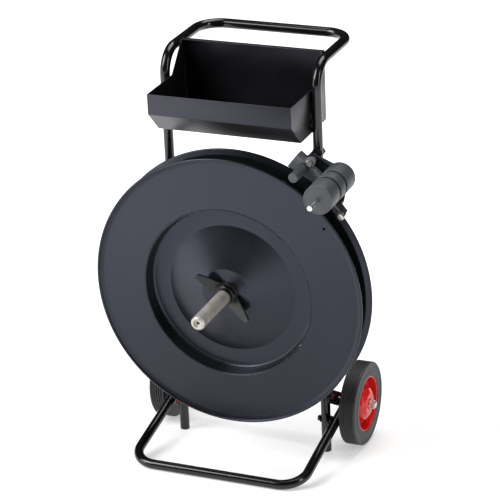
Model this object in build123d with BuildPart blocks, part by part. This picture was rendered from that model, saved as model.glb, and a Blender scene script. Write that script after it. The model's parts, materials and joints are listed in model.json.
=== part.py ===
from build123d import *
import math
import os

# Strapping coil dispenser trolley. Every size is in millimetres.
# The machine is drawn in its own square frame: X to the right, Y to the rear, Z up
# along the uprights, with the origin on the spindle axis in the plane of the front rim.
# The whole frame then leans forward onto its foot. The floor is Z = 0, and the origin is
# midway between the tip of the spindle and the back of the tyres.

# ---- driving dimensions -------------------------------------------------------------
lean = 5.4                 # forward lean of the standing frame, degrees
tube_r = 11.0              # every frame tube, outside radius
tube_wall = 2.0
bend_r = 55.0              # centre-line radius of every tube bend

upright_x = 177.5          # centre line of each upright
upright_y = 124.0
handle_y = 352.0           # centre line of the push bar
handle_z = 503.0

foot_gap = 3.5             # between each upright and the foot arm outside it
foot_x = upright_x + 2 * tube_r + foot_gap
foot_y = -116.5            # front bar of the foot
foot_z = -390.5
axle_y = 197.5
axle_z = -328.5

flange_r = 316.0           # both flanges
core_r = 198.0             # drum that carries the core of the coil
pair_y = 35.0              # middle plane between the two flanges
dish_depth = 33.0
cone_r = 149.0             # foot of the centre cone
crown_r = 57.0             # flat top of the centre cone
sheet = 2.0                # pressed sheet

spindle_r = 16.0
spindle_front = -164.0
spindle_rear = 178.0
tip_chamfer = 3.5

wheel_r = 97.0
wheel_width = 38.0
wheel_gap = 2.0            # between each foot arm and its wheel
wheel_out = foot_x + tube_r + wheel_gap + wheel_width    # outer face of each wheel
rim_r = 64.0
axle_r = 8.0
bolt_r = 4.0               # M8 frame bolts

tray_front = 2.0
tray_rear = 208.0
tray_top = 448.0
tray_floor = 352.0
tray_back_top = 512.0
tray_sheet = 2.0

pivot_x = upright_x        # brake arm pivot, through the right upright
pivot_z = 302.0
pivot_r = 6.0              # M12 pivot bolt
roller_x = pivot_x + 66.1  # three-part strap roller
roller_z = pivot_z - 29.4
roller_r = 32.7
roller_front = -58.0
guide_x = pivot_x - 14.1   # small guide roller over the coil space
guide_z = pivot_z - 13.1
guide_r = 11.0
plate_y = 72.0             # front face of the brake arm's channel

# ---- named clearances ---------------------------------------------------------------
fit = 0.02                 # press or welded fit, radial
run = 0.06                 # running fit, radial
seat = 0.1                 # faces that rest on each other
free = 1.0                 # faces that pass each other

# ---- standing frame -----------------------------------------------------------------
sin_l = math.sin(math.radians(lean))
cos_l = math.cos(math.radians(lean))
axis_h = tube_r - (foot_y * sin_l + foot_z * cos_l)   # the foot bar rests on the floor
tip_y = spindle_front * cos_l - (spindle_r - tip_chamfer) * sin_l
tail_y = axle_y * cos_l - axle_z * sin_l + wheel_r
axis_set = -(tip_y + tail_y) / 2
stand = Location((0, axis_set, axis_h), (lean, 0, 0))


def level(z):
    """Plane across the machine at height z, local x right and local y rearward."""
    return Plane(stand * Plane.XY.offset(z).location)


def face(y):
    """Plane facing the front at depth y, local x right and local y up."""
    return Plane(stand * Plane.XZ.offset(-y).location)


def side(x):
    """Plane facing right at x, local x rearward and local y up."""
    return Plane(stand * Plane.YZ.offset(x).location)


def place(x, y, z):
    """Point of the machine's own frame, on the standing machine."""
    return (x, axis_set + y * cos_l - z * sin_l, axis_h + y * sin_l + z * cos_l)


def axis_y(x, z):
    return Axis(place(x, 0, z), (0, cos_l, sin_l))


def axis_x(y, z):
    return Axis(place(0, y, z), (1, 0, 0))


def finish(body, name):
    """Names a finished piece and writes it as its own STEP file."""
    body.part.label = name
    export_step(body.part, f"parts/{name}.step")


os.makedirs("parts", exist_ok=True)
sides = {"left": -1, "right": 1}

# ---- frame tubes --------------------------------------------------------------------
cap_t = 4.0
foot_rise = (axle_z - foot_z) / (axle_y - foot_y)
foot_angle = math.degrees(math.atan(foot_rise))
cross_z = axle_z - (axle_y - upright_y) * foot_rise    # where arm and upright cross
stay_z = -284.0            # upper bolt of each axle stay
screw_z = (362.0, 380.0)   # screws that hold the tray cheeks to the uprights
screw_r = 2.5
screw_reach = 4.0          # how far a tray screw goes into its upright
upright_in = upright_x - tube_r
upright_out = upright_x + tube_r
tray_x = upright_in - seat     # outer face of the tray cheeks
upright_end = -(axis_h + (upright_y - tube_r) * sin_l) / cos_l + cap_t
bore_r = tube_r - tube_wall

with BuildPart() as upright_frame:
    with BuildLine(level(0)) as run_line:
        FilletPolyline(
            (-upright_x, upright_y, upright_end),
            (-upright_x, upright_y, handle_z),
            (-upright_x, handle_y, handle_z),
            (upright_x, handle_y, handle_z),
            (upright_x, upright_y, handle_z),
            (upright_x, upright_y, upright_end),
            radius=bend_r,
        )
    with BuildSketch(level(upright_end)):
        with Locations((-upright_x, upright_y)):
            Circle(tube_r)
            Circle(bore_r, mode=Mode.SUBTRACT)
    sweep(path=run_line.line)
    with BuildSketch(side(-upright_out)):
        with Locations((upright_y, cross_z), (upright_y, stay_z)):
            Circle(bolt_r + fit)
    extrude(amount=2 * upright_out, mode=Mode.SUBTRACT)
    with BuildSketch(side(-upright_in - screw_reach)):
        with Locations(*[(upright_y, z) for z in screw_z]):
            Circle(screw_r + fit)
    extrude(amount=2 * (upright_in + screw_reach), mode=Mode.SUBTRACT)
    with BuildSketch(face(upright_y + tube_r)):
        with Locations((pivot_x, pivot_z)):
            Circle(pivot_r + fit)
    extrude(amount=2 * tube_r, mode=Mode.SUBTRACT)
finish(upright_frame, "upright_frame")

foot_tail = 20.0           # arm past the axle
tail_y = axle_y + foot_tail
tail_z = axle_z + foot_tail * foot_rise


def arm_plane(sign):
    """Plane across a foot arm at its rear end, facing the rear."""
    x_dir = (1, 0, 0)
    z_dir = (
        0,
        math.cos(math.radians(foot_angle + lean)),
        math.sin(math.radians(foot_angle + lean)),
    )
    return Plane(origin=place(sign * foot_x, tail_y, tail_z), x_dir=x_dir, z_dir=z_dir)


with BuildPart() as foot_tube:
    with BuildLine(level(0)) as foot_line:
        FilletPolyline(
            (-foot_x, tail_y, tail_z),
            (-foot_x, foot_y, foot_z),
            (foot_x, foot_y, foot_z),
            (foot_x, tail_y, tail_z),
            radius=bend_r,
        )
    with BuildSketch(arm_plane(-1)):
        Circle(tube_r)
        Circle(bore_r, mode=Mode.SUBTRACT)
    sweep(path=foot_line.line)
    with BuildSketch(side(-foot_x - tube_r)):
        with Locations((axle_y, axle_z)):
            Circle(axle_r + fit)
        with Locations((upright_y, cross_z)):
            Circle(bolt_r + fit)
    extrude(amount=2 * (foot_x + tube_r), mode=Mode.SUBTRACT)
finish(foot_tube, "foot_tube")

plug_len = 16.0
with BuildPart() as foot_caps:
    for sign in sides.values():
        with BuildSketch(arm_plane(sign)):
            Circle(bore_r - fit)
        extrude(amount=-plug_len + cap_t)
        with BuildSketch(arm_plane(sign)):
            Circle(tube_r)
        extrude(amount=cap_t, taper=12)
finish(foot_caps, "foot_caps")

with BuildPart() as upright_caps:
    for sign in sides.values():
        with BuildSketch(level(upright_end)):
            with Locations((sign * upright_x, upright_y)):
                Circle(bore_r - fit)
        extrude(amount=plug_len)
        with BuildSketch(level(upright_end)):
            with Locations((sign * upright_x, upright_y)):
                Circle(tube_r)
        extrude(amount=-cap_t)
finish(upright_caps, "upright_caps")

# ---- tool tray ----------------------------------------------------------------------
tray_lip = 402.0           # lower edge of the front wall
tray_slope = 52.0          # where the sloping wall meets the floor
tray_fold = 14.0           # stiffening fold along the back wall

with BuildPart() as tray_shell:
    with BuildSketch(side(-tray_x + tray_sheet + fit)):
        with BuildLine():
            FilletPolyline(
                (tray_front + tray_sheet / 2, tray_top),
                (tray_front + tray_sheet / 2, tray_lip),
                (tray_slope, tray_floor + tray_sheet / 2),
                (tray_rear - tray_sheet / 2, tray_floor + tray_sheet / 2),
                (tray_rear - tray_sheet / 2, tray_back_top - tray_sheet / 2),
                (tray_rear - tray_fold, tray_back_top - tray_sheet / 2),
                radius=3,
            )
        trace(line_width=tray_sheet)
    extrude(amount=2 * (tray_x - tray_sheet - fit))
finish(tray_shell, "tray_shell")

cheek_top = [
    (tray_front, tray_top),
    (upright_y + tube_r, tray_top),
    (tray_rear - tray_fold, tray_back_top),
    (tray_rear, tray_back_top),
]
for name, sign in sides.items():
    outer = sign * tray_x
    with BuildPart() as tray_cheek:
        with BuildSketch(side(outer)):
            with BuildLine():
                Polyline(
                    *cheek_top,
                    (tray_rear, tray_floor),
                    (tray_slope, tray_floor),
                    (tray_front, tray_lip),
                    close=True,
                )
            make_face()
            with Locations(*[(upright_y, z) for z in screw_z]):
                Circle(screw_r + fit, mode=Mode.SUBTRACT)
        extrude(amount=-sign * tray_sheet)
    finish(tray_cheek, f"tray_cheek_{name}")

screw_head_r = 5.0
screw_head = 3.0
with BuildPart() as tray_screws:
    for sign in sides.values():
        for z in screw_z:
            with BuildSketch(side(sign * (tray_x - tray_sheet - seat))):
                with Locations((upright_y, z)):
                    Circle(screw_head_r)
            extrude(amount=-sign * screw_head)
            with BuildSketch(side(sign * (tray_x - tray_sheet - seat))):
                with Locations((upright_y, z)):
                    Circle(screw_r)
            extrude(amount=sign * (upright_in + screw_reach - tray_x + tray_sheet + seat))
finish(tray_screws, "tray_screws")

# ---- spindle support ----------------------------------------------------------------
beam_h = 96.0
beam_t = 4.0
beam_lip = 16.0
housing_r = 30.0
housing_half = 24.0
housing_front = upright_y - housing_half
housing_rear = upright_y + housing_half
bush_wall = 5.0
bush_r = spindle_r + bush_wall
bush_len = 16.0
beam_x = upright_x - 5.0   # the ends are coped round the uprights

with BuildPart() as cross_beam:
    with BuildSketch(side(-beam_x)):
        with BuildLine():
            Polyline(
                (upright_y + beam_lip, -beam_h / 2),
                (upright_y, -beam_h / 2),
                (upright_y, beam_h / 2),
                (upright_y + beam_lip, beam_h / 2),
            )
        trace(line_width=beam_t)
    extrude(amount=2 * beam_x)
    with BuildSketch(level(-beam_h)):
        with Locations((-upright_x, upright_y), (upright_x, upright_y)):
            Circle(tube_r + seat)
    extrude(amount=2 * beam_h, mode=Mode.SUBTRACT)
    with BuildSketch(face(housing_rear)):
        Circle(housing_r + fit)
    extrude(amount=2 * housing_half, mode=Mode.SUBTRACT)
finish(cross_beam, "cross_beam")

with BuildPart() as bearing_housing:
    with BuildSketch(face(housing_rear)):
        Circle(housing_r)
        Circle(spindle_r + 2 * free, mode=Mode.SUBTRACT)
    extrude(amount=2 * housing_half)
    for y in (housing_front + bush_len, housing_rear):
        with BuildSketch(face(y)):
            Circle(bush_r + fit)
        extrude(amount=bush_len, mode=Mode.SUBTRACT)
finish(bearing_housing, "bearing_housing")

with BuildPart() as spindle_bushes:
    for y in (housing_front + bush_len - fit, housing_rear):
        with BuildSketch(face(y)):
            Circle(bush_r)
            Circle(spindle_r + run, mode=Mode.SUBTRACT)
        extrude(amount=bush_len - fit)
finish(spindle_bushes, "spindle_bushes")

# ---- axle, stays and the bolts that hold the foot -----------------------------------
axle_end = wheel_out + 18.5
with BuildPart() as axle:
    with BuildSketch(side(-axle_end)):
        with Locations((axle_y, axle_z)):
            Circle(axle_r)
    extrude(amount=2 * axle_end)
    chamfer(axle.edges().filter_by(GeomType.CIRCLE), length=1.5)
finish(axle, "axle")

stay_t = 3.0
stay_w = 32.0
stay_x = upright_x + tube_r + seat
stay_run = math.hypot(axle_y - upright_y, axle_z - stay_z)
stay_angle = math.degrees(math.atan2(axle_z - stay_z, axle_y - upright_y))
stay_mid = ((axle_y + upright_y) / 2, (axle_z + stay_z) / 2)

for name, sign in sides.items():
    with BuildPart() as axle_stay:
        with BuildSketch(side(sign * stay_x)):
            with Locations(stay_mid):
                SlotCenterToCenter(stay_run, stay_w, rotation=stay_angle)
            with Locations((upright_y, stay_z)):
                Circle(bolt_r + fit, mode=Mode.SUBTRACT)
            with Locations((axle_y, axle_z)):
                Circle(axle_r + fit, mode=Mode.SUBTRACT)
        extrude(amount=sign * stay_t)
    finish(axle_stay, f"axle_stay_{name}")

head_t = 5.5
head_r = 7.2
nut_t = 6.0
nut_r = 6.4
washer_t = 1.6
washer_r = 9.0
arm_in = foot_x - tube_r
arm_out = foot_x + tube_r
nut_end = foot_x + math.sqrt(bore_r ** 2 - nut_r ** 2) - seat    # nut inside the arm

# Hexagon bolts through the tubes along X, with the head on the inner side.
bolt_sets = {
    "foot_bolts": (cross_z, nut_end, upright_out + seat, arm_in - seat),
    "stay_bolts": (stay_z, stay_x + stay_t + seat + washer_t + nut_t, 0, 0),
}
for name, (bolt_z, outer, pack_in, pack_out) in bolt_sets.items():
    head_x = upright_in - seat - washer_t
    with BuildPart() as cross_bolts:
        for sign in sides.values():
            with BuildSketch(side(sign * (head_x - head_t))):
                with Locations((upright_y, bolt_z)):
                    RegularPolygon(head_r, 6)
            extrude(amount=sign * head_t)
            with BuildSketch(side(sign * head_x)):
                with Locations((upright_y, bolt_z)):
                    Circle(washer_r)
            extrude(amount=sign * washer_t)
            with BuildSketch(side(sign * head_x)):
                with Locations((upright_y, bolt_z)):
                    Circle(bolt_r)
            extrude(amount=sign * (outer - head_x))
            with BuildSketch(side(sign * (outer - nut_t))):
                with Locations((upright_y, bolt_z)):
                    RegularPolygon(nut_r, 6)
            extrude(amount=sign * nut_t)
            if pack_out > pack_in:
                with BuildSketch(side(sign * pack_in)):
                    with Locations((upright_y, bolt_z)):
                        Circle(washer_r)
                extrude(amount=sign * (pack_out - pack_in))
    finish(cross_bolts, name)

spacer_r = 12.0
hub_in = wheel_out - wheel_width - 1.0      # inner end of each wheel hub
hub_out = wheel_out + 4.0
with BuildPart() as axle_spacers:
    for sign in sides.values():
        with BuildSketch(side(sign * (arm_out + seat))):
            with Locations((axle_y, axle_z)):
                Circle(spacer_r)
                Circle(axle_r + fit, mode=Mode.SUBTRACT)
        extrude(amount=sign * (hub_in - arm_out - 3 * seat))
finish(axle_spacers, "axle_spacers")

axle_nut_r = 11.5
axle_nut_t = 8.0
with BuildPart() as axle_nuts:
    for sign in sides.values():
        with BuildSketch(side(sign * (hub_out + 2 * seat))):
            with Locations((axle_y, axle_z)):
                Circle(axle_nut_r)
                Circle(axle_r + fit, mode=Mode.SUBTRACT)
        extrude(amount=sign * 2)
        with BuildSketch(side(sign * (hub_out + 2 * seat + 2))):
            with Locations((axle_y, axle_z)):
                RegularPolygon(axle_nut_r, 6)
                Circle(axle_r + fit, mode=Mode.SUBTRACT)
        extrude(amount=sign * axle_nut_t)
finish(axle_nuts, "axle_nuts")

# ---- wheels -------------------------------------------------------------------------
groove_w = 2.6
groove_d = 2.4
groove_count = 5
tread_land = 5.6
shoulder = 3.5
hub_r = 13.0
bush_t = 3.0
rim_wall = 3.0
rim_set = 1.0              # how far the barrel stands inside the tyre's outer face
disc_set = 18.0            # how far the flat of the disc lies inside it
disc_flange = 8.0
bell = [(45.0, 0.0), (41.0, 2.5), (36.0, 14.0), (25.0, 20.5)]    # radius, height of the bell
wheel_mid = wheel_out - wheel_width / 2
barrel_w = wheel_width - 3 - rim_set
grooves = [(i - (groove_count - 1) / 2) * tread_land for i in range(groove_count)]

for name, sign in sides.items():
    mid = sign * wheel_mid
    with BuildPart() as tyre:
        with BuildSketch(face(axle_y)) as tread:
            with Locations((mid, axle_z + (wheel_r + rim_r) / 2)):
                Rectangle(wheel_width, wheel_r - rim_r)
            fillet(tread.vertices().group_by(Axis.Z)[-1], radius=shoulder)
            with Locations(*[(mid + x, axle_z + wheel_r) for x in grooves]):
                Rectangle(groove_w, 2 * groove_d, mode=Mode.SUBTRACT)
        revolve(axis=axis_x(axle_y, axle_z))
    finish(tyre, f"tyre_{name}")

    with BuildPart() as wheel_barrel:
        with BuildSketch(face(axle_y)) as wall:
            with Locations((sign * (wheel_out - rim_set - barrel_w / 2),
                            axle_z + rim_r - rim_wall / 2 - fit)):
                Rectangle(barrel_w, rim_wall)
            fillet(wall.vertices(), radius=rim_wall / 4)
        revolve(axis=axis_x(axle_y, axle_z))
    finish(wheel_barrel, f"wheel_barrel_{name}")

    disc_x = wheel_out - disc_set
    disc_r = rim_r - 1.5 * rim_wall - fit - seat
    with BuildPart() as wheel_disc:
        with BuildSketch(face(axle_y)):
            with BuildLine():
                FilletPolyline(
                    (sign * (disc_x - disc_flange), axle_z + disc_r),
                    (sign * disc_x, axle_z + disc_r),
                    *[(sign * (disc_x + x), axle_z + r) for r, x in bell],
                    (sign * (disc_x + bell[-1][1]), axle_z + hub_r + fit),
                    radius=rim_wall,
                )
            trace(line_width=rim_wall)
        revolve(axis=axis_x(axle_y, axle_z))
    finish(wheel_disc, f"wheel_disc_{name}")

    with BuildPart() as wheel_hub:
        with BuildSketch(side(sign * hub_in)):
            with Locations((axle_y, axle_z)):
                Circle(hub_r)
                Circle(axle_r + bush_t + fit, mode=Mode.SUBTRACT)
        extrude(amount=sign * (hub_out - hub_in))
    finish(wheel_hub, f"wheel_hub_{name}")

    with BuildPart() as wheel_bush:
        with BuildSketch(side(sign * hub_in)):
            with Locations((axle_y, axle_z)):
                Circle(axle_r + bush_t)
                Circle(axle_r + run, mode=Mode.SUBTRACT)
        extrude(amount=sign * (hub_out - hub_in))
    finish(wheel_bush, f"wheel_bush_{name}")

# ---- reel: spindle, rear flange and hub ---------------------------------------------
bead_r = 3.0
lip_w = 13.0               # width of the rolled lip outside the flat of a flange
lip_depth = 9.0
ring_inner = core_r + 0.2
hub_hole = spindle_r + 6.0
hub_bolt_ring = 34.0
hub_bolt_r = 3.0


def depth(y, rear):
    """Front pressings as drawn; rear ones mirrored in the middle plane."""
    return 2 * pair_y - y if rear else y


dish_floor = pair_y - 0.2 - sheet / 2
seam_r = core_r - 14.0     # where the drum wall is welded to its cone
hole_r = 3.2
hole_ring = flange_r - 24.0
hole_angles = {"front": 37.9, "rear": -9.7}

for name, rear in {"front": False, "rear": True}.items():
    with BuildPart() as flange_ring:
        with BuildSketch(level(0)):
            with BuildLine():
                FilletPolyline(
                    (ring_inner, depth(2.5, rear)),
                    (flange_r - lip_w, depth(lip_depth, rear)),
                    (flange_r - bead_r, depth(2 + bead_r, rear)),
                    radius=4,
                )
            trace(line_width=sheet)
            with Locations((flange_r - bead_r, depth(bead_r, rear))):
                Circle(bead_r)
        revolve(axis=axis_y(0, 0))
        with BuildSketch(face(2 * pair_y)):
            with PolarLocations(hole_ring, 1, start_angle=hole_angles[name]):
                Circle(hole_r)
        extrude(amount=2 * pair_y, mode=Mode.SUBTRACT)
    finish(flange_ring, f"{name}_flange_ring")

    with BuildPart() as core_wall:
        with BuildSketch(level(0)):
            with BuildLine():
                FilletPolyline(
                    (core_r - sheet / 2, depth(1.5, rear)),
                    (core_r - 6.0, depth(dish_floor, rear)),
                    (seam_r + seat / 2, depth(dish_floor, rear)),
                    radius=7,
                )
            trace(line_width=sheet)
        revolve(axis=axis_y(0, 0))
    finish(core_wall, f"{name}_core_wall")

    with BuildPart() as core_cone:
        with BuildSketch(level(0)):
            with BuildLine():
                FilletPolyline(
                    (seam_r - seat / 2, depth(dish_floor, rear)),
                    (cone_r, depth(dish_floor, rear)),
                    (crown_r, depth(sheet / 2, rear)),
                    (hub_hole, depth(sheet / 2, rear)),
                    radius=7,
                )
            trace(line_width=sheet)
        revolve(axis=axis_y(0, 0))
        if rear:
            with BuildSketch(face(2 * pair_y)):
                with PolarLocations(hub_bolt_ring, 4, start_angle=45):
                    Circle(hub_bolt_r + fit)
            extrude(amount=pair_y, mode=Mode.SUBTRACT)
    finish(core_cone, f"{name}_core_cone")

recess_r = 9.0             # shallow counterbore in the spindle's front end
recess_depth = 4.0
centre_r = 4.0
centre_depth = 12.0
with BuildPart() as spindle:
    with BuildSketch(face(spindle_rear)):
        Circle(spindle_r)
    extrude(amount=spindle_rear - spindle_front)
    chamfer(spindle.edges().filter_by(GeomType.CIRCLE), length=tip_chamfer)
    with Locations(face(spindle_front)):
        CounterBoreHole(centre_r, recess_r, recess_depth, centre_depth)
finish(spindle, "spindle")

thrust_t = 3.0
thrust_r = 26.0
hub_plate_r = 50.0
hub_plate_t = 6.0
hub_front = 2 * pair_y + seat
hub_back = housing_front - thrust_t - 2 * seat
with BuildPart() as reel_hub:
    with BuildSketch(face(hub_front + hub_plate_t)):
        Circle(hub_plate_r)
        with PolarLocations(hub_bolt_ring, 4, start_angle=45):
            Circle(hub_bolt_r + fit, mode=Mode.SUBTRACT)
    extrude(amount=hub_plate_t)
    with BuildSketch(face(hub_back)):
        Circle(thrust_r)
    extrude(amount=hub_back - hub_front)
    with BuildSketch(face(hub_back)):
        Circle(spindle_r + fit)
    extrude(amount=hub_back - hub_front, mode=Mode.SUBTRACT)
finish(reel_hub, "reel_hub")

hub_nut_t = 5.0
hub_head_t = 4.0
hub_hex_r = 5.6
hub_grip = sheet + hub_plate_t + 3 * seat
with BuildPart() as hub_bolts:
    grip_front = 2 * pair_y - sheet - seat
    with BuildSketch(face(grip_front)):
        with PolarLocations(hub_bolt_ring, 4, start_angle=45):
            RegularPolygon(hub_hex_r, 6)
    extrude(amount=hub_head_t)
    with BuildSketch(face(grip_front + hub_grip)):
        with PolarLocations(hub_bolt_ring, 4, start_angle=45):
            Circle(hub_bolt_r)
    extrude(amount=hub_grip)
    with BuildSketch(face(grip_front + hub_grip + hub_nut_t)):
        with PolarLocations(hub_bolt_ring, 4, start_angle=45):
            RegularPolygon(hub_hex_r, 6)
    extrude(amount=hub_nut_t)
finish(hub_bolts, "hub_bolts")

lock_front = housing_rear + thrust_t + 2 * seat
lock_r = 24.0
lock_t = 18.0
with BuildPart() as thrust_washers:
    for y in (housing_front - seat, housing_rear + thrust_t + seat):
        with BuildSketch(face(y)):
            Circle(thrust_r)
            Circle(spindle_r + run, mode=Mode.SUBTRACT)
        extrude(amount=thrust_t)
finish(thrust_washers, "thrust_washers")

with BuildPart() as spindle_lock_nut:
    with BuildSketch(face(lock_front + lock_t)):
        RegularPolygon(lock_r, 6)
        Circle(spindle_r + fit, mode=Mode.SUBTRACT)
    extrude(amount=lock_t)
finish(spindle_lock_nut, "spindle_lock_nut")

# ---- what clamps the front flange ---------------------------------------------------
guide_bush_len = 28.0
guide_collar_t = 4.0
guide_collar_r = hub_hole + 7.0
with BuildPart() as flange_guide_bush:
    with BuildSketch(face(guide_bush_len)):
        Circle(hub_hole - fit)
    extrude(amount=guide_bush_len)
    with BuildSketch(face(sheet + seat + guide_collar_t)):
        Circle(guide_collar_r)
    extrude(amount=guide_collar_t)
    with BuildSketch(face(guide_bush_len)):
        Circle(spindle_r + run)
    extrude(amount=guide_bush_len, mode=Mode.SUBTRACT)
finish(flange_guide_bush, "flange_guide_bush")

clamp_washer_t = 3.0
clamp_washer_r = 27.0
with BuildPart() as nut_washer:
    with BuildSketch(face(-seat)):
        Circle(clamp_washer_r)
        Circle(spindle_r + run, mode=Mode.SUBTRACT)
    extrude(amount=clamp_washer_t)
    chamfer(nut_washer.faces().sort_by(axis_y(0, 0))[0].outer_wire().edges(), length=0.6)
finish(nut_washer, "nut_washer")

nut_back = -(clamp_washer_t + 2 * seat)
nut_len = 19.0
nut_hub_r = 21.0
nut_nose_r = 19.0
wing_turn = 141.0          # direction of the upper wing, from X towards Z
wing_reach = 76.0
wing_t = 6.5               # along the spindle
wing_rise = 0.403          # how far the wings sweep forward for each mm outward
wing_root = nut_back - 4.3     # front of the wings at the edge of the nose
wing_x = Vector(
    math.cos(math.radians(wing_turn)),
    -math.sin(math.radians(wing_turn)) * sin_l,
    math.sin(math.radians(wing_turn)) * cos_l,
)
wing_plane = Plane(
    origin=place(0, 0, 0), x_dir=wing_x, z_dir=wing_x.cross(Vector(0, cos_l, sin_l))
)
wing_width = [(0.0, 18.0), (20.0, 17.0), (51.0, 12.0), (wing_reach, 5.5)]   # radius, half width
wing_edge = [(r, w) for r, w in wing_width] + [(r, -w) for r, w in wing_width[::-1]]
wing_start = nut_nose_r - 9.0
wing_back_r = nut_nose_r + (wing_root + wing_t - nut_back + free) / wing_rise
with BuildPart() as wing_nut:
    with BuildSketch(wing_plane):
        with BuildLine():
            Polyline(
                (wing_start, nut_back - free),
                (wing_back_r, nut_back - free),
                (wing_reach, wing_root + wing_t - wing_rise * (wing_reach - nut_nose_r)),
                (wing_reach, wing_root - wing_rise * (wing_reach - nut_nose_r)),
                (nut_nose_r, wing_root),
                (wing_start, wing_root),
                close=True,
            )
        make_face()
        mirror(about=Plane.YZ)
    extrude(amount=wing_width[0][1], both=True)
    with BuildSketch(Plane(face(nut_back).location * Location((0, 0, 0), (0, 0, wing_turn)))):
        for turn in (0, 180):
            with Locations(Location((0, 0, 0), (0, 0, turn))):
                with BuildSketch(mode=Mode.PRIVATE) as blade:
                    with BuildLine():
                        Polyline(*wing_edge, close=True)
                    make_face()
                    fillet(blade.vertices().group_by(Axis.X)[-1], radius=4.5)
                add(blade.sketch)
    extrude(amount=2 * wing_reach, mode=Mode.INTERSECT)
    with BuildSketch(face(nut_back)):
        Circle(nut_hub_r)
    extrude(amount=nut_len / 2)
    with BuildSketch(face(nut_back)):
        Circle(nut_nose_r)
    extrude(amount=nut_len)
    with BuildSketch(face(nut_back)):
        Circle(spindle_r + run)
    extrude(amount=2 * nut_len, mode=Mode.SUBTRACT)
finish(wing_nut, "wing_nut")

# ---- brake arm ----------------------------------------------------------------------
bracket_x = pivot_x - 11.5     # centre of the folded channel
bracket_z = pivot_z - 22.2
bracket_turn = -38.3
bracket_l = 74.0
bracket_h = 36.0
channel_t = 3.0
channel_rear = 101.0
ear_r = 12.0
sleeve_r = 9.0
sleeve_rear = 93.5
spring_room = 12.5         # the channel is cut away round the torsion spring
lever_front = 88.0
lever_t = 5.0
lever_rear = lever_front + lever_t
pin_r = 4.0                # guide roller pin, roller shaft and shoe bolt
shoe_angle = 37.5          # where the brake shoe starts on the rim
shoe_span = 8.0
shoe_front = 45.0
shoe_rear = 75.0
shoe_boss = 10.0           # how far the bolt's boss stands out in front
shoe_t = 6.0
lining_gap = 0.4
lining_t = 5.6
block_span = 3.4           # each of the two lining blocks, degrees
lining_r = flange_r + lining_gap
shoe_r = lining_r + lining_t + seat
shoe_bolt_r = shoe_r + 6.9
shoe_bolt_angle = 37.6
limb_end = 9.0             # radius of the lever's end, which carries the shoe
limb_angle = 42.0
limb_x = (shoe_r - 1.8) * math.cos(math.radians(limb_angle))
limb_z = (shoe_r - 1.8) * math.sin(math.radians(limb_angle))
shoe_bolt_x = shoe_bolt_r * math.cos(math.radians(shoe_bolt_angle))
shoe_bolt_z = shoe_bolt_r * math.sin(math.radians(shoe_bolt_angle))


def along(y):
    """Plane at depth y turned to lie along the channel, from its centre."""
    return Plane(face(y).location * Location((bracket_x, bracket_z, 0), (0, 0, bracket_turn)))


with BuildPart() as brake_bracket:
    with BuildSketch(along(plate_y + channel_t)):
        Rectangle(bracket_l, bracket_h)
    extrude(amount=channel_t)
    with BuildSketch(face(plate_y + channel_t)):
        with Locations((pivot_x, pivot_z)):
            Circle(ear_r)
    extrude(amount=channel_t)
    with BuildSketch(along(channel_rear)):
        with GridLocations(1, bracket_h - channel_t, 1, 2):
            Rectangle(bracket_l, channel_t)
    extrude(amount=channel_rear - plate_y)
    with BuildSketch(face(channel_rear)):
        with Locations((pivot_x, pivot_z)):
            Circle(spring_room)
    extrude(amount=channel_rear - sleeve_rear, mode=Mode.SUBTRACT)
    with BuildSketch(face(sleeve_rear)):
        with Locations((pivot_x, pivot_z)):
            Circle(sleeve_r)
    extrude(amount=sleeve_rear - plate_y)
    with BuildSketch(face(channel_rear)):
        with Locations((pivot_x, pivot_z)):
            Circle(pivot_r + run)
        with Locations((guide_x, guide_z)):
            Circle(pin_r + fit)
    extrude(amount=channel_rear - plate_y, mode=Mode.SUBTRACT)
finish(brake_bracket, "brake_bracket")

lever_arms = [
    [(pivot_x, pivot_z, 14.0), (roller_x, roller_z, 16.0)],
    [(roller_x, roller_z, 16.0), (limb_x, limb_z, limb_end)],
]
with BuildPart() as brake_lever:
    for arm in lever_arms:
        with BuildSketch(face(lever_rear)):
            for x, z, r in arm:
                with Locations((x, z)):
                    Circle(r)
            make_hull()
        extrude(amount=lever_t)
    with BuildSketch(face(lever_rear)):
        with Locations((limb_x, limb_z)):
            Circle(limb_end)
    extrude(amount=lever_rear - shoe_rear)
    with BuildSketch(along(lever_rear)):
        Rectangle(bracket_l + 2 * seat, bracket_h + 2 * seat)
    extrude(amount=lever_t, mode=Mode.SUBTRACT)
    with BuildSketch(face(lever_rear)):
        with Locations((pivot_x, pivot_z)):
            Circle(sleeve_r + fit)
        with Locations((roller_x, roller_z)):
            Circle(pin_r + fit)
    extrude(amount=lever_t, mode=Mode.SUBTRACT)
finish(brake_lever, "brake_lever")

guide_front = 7.0
guide_blind = 5.0          # closed front end of the guide roller
collar_t = 5.4
collar_r = 11.4
guide_rear = plate_y - collar_t - 2 * seat - lining_gap
pin_nut_t = 6.0
pin_nut_r = 7.5
with BuildPart() as guide_roller:
    with BuildSketch(face(guide_rear)):
        with Locations((guide_x, guide_z)):
            Circle(guide_r)
    extrude(amount=guide_rear - guide_front)
    chamfer(guide_roller.edges().filter_by(GeomType.CIRCLE), length=0.8)
    with BuildSketch(face(guide_rear)):
        with Locations((guide_x, guide_z)):
            Circle(pin_r + run)
    extrude(amount=guide_rear - guide_front - guide_blind, mode=Mode.SUBTRACT)
finish(guide_roller, "guide_roller")

with BuildPart() as guide_pin:
    pin_rear = plate_y + channel_t + seat + pin_nut_t
    with BuildSketch(face(pin_rear)):
        with Locations((guide_x, guide_z)):
            Circle(pin_r)
    extrude(amount=pin_rear - guide_front - guide_blind - lining_gap)
finish(guide_pin, "guide_pin")

with BuildPart() as guide_collar:
    with BuildSketch(face(plate_y - seat)):
        with Locations((guide_x, guide_z)):
            Circle(collar_r)
            Circle(pin_r + fit, mode=Mode.SUBTRACT)
    extrude(amount=collar_t)
finish(guide_collar, "guide_collar")

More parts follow.
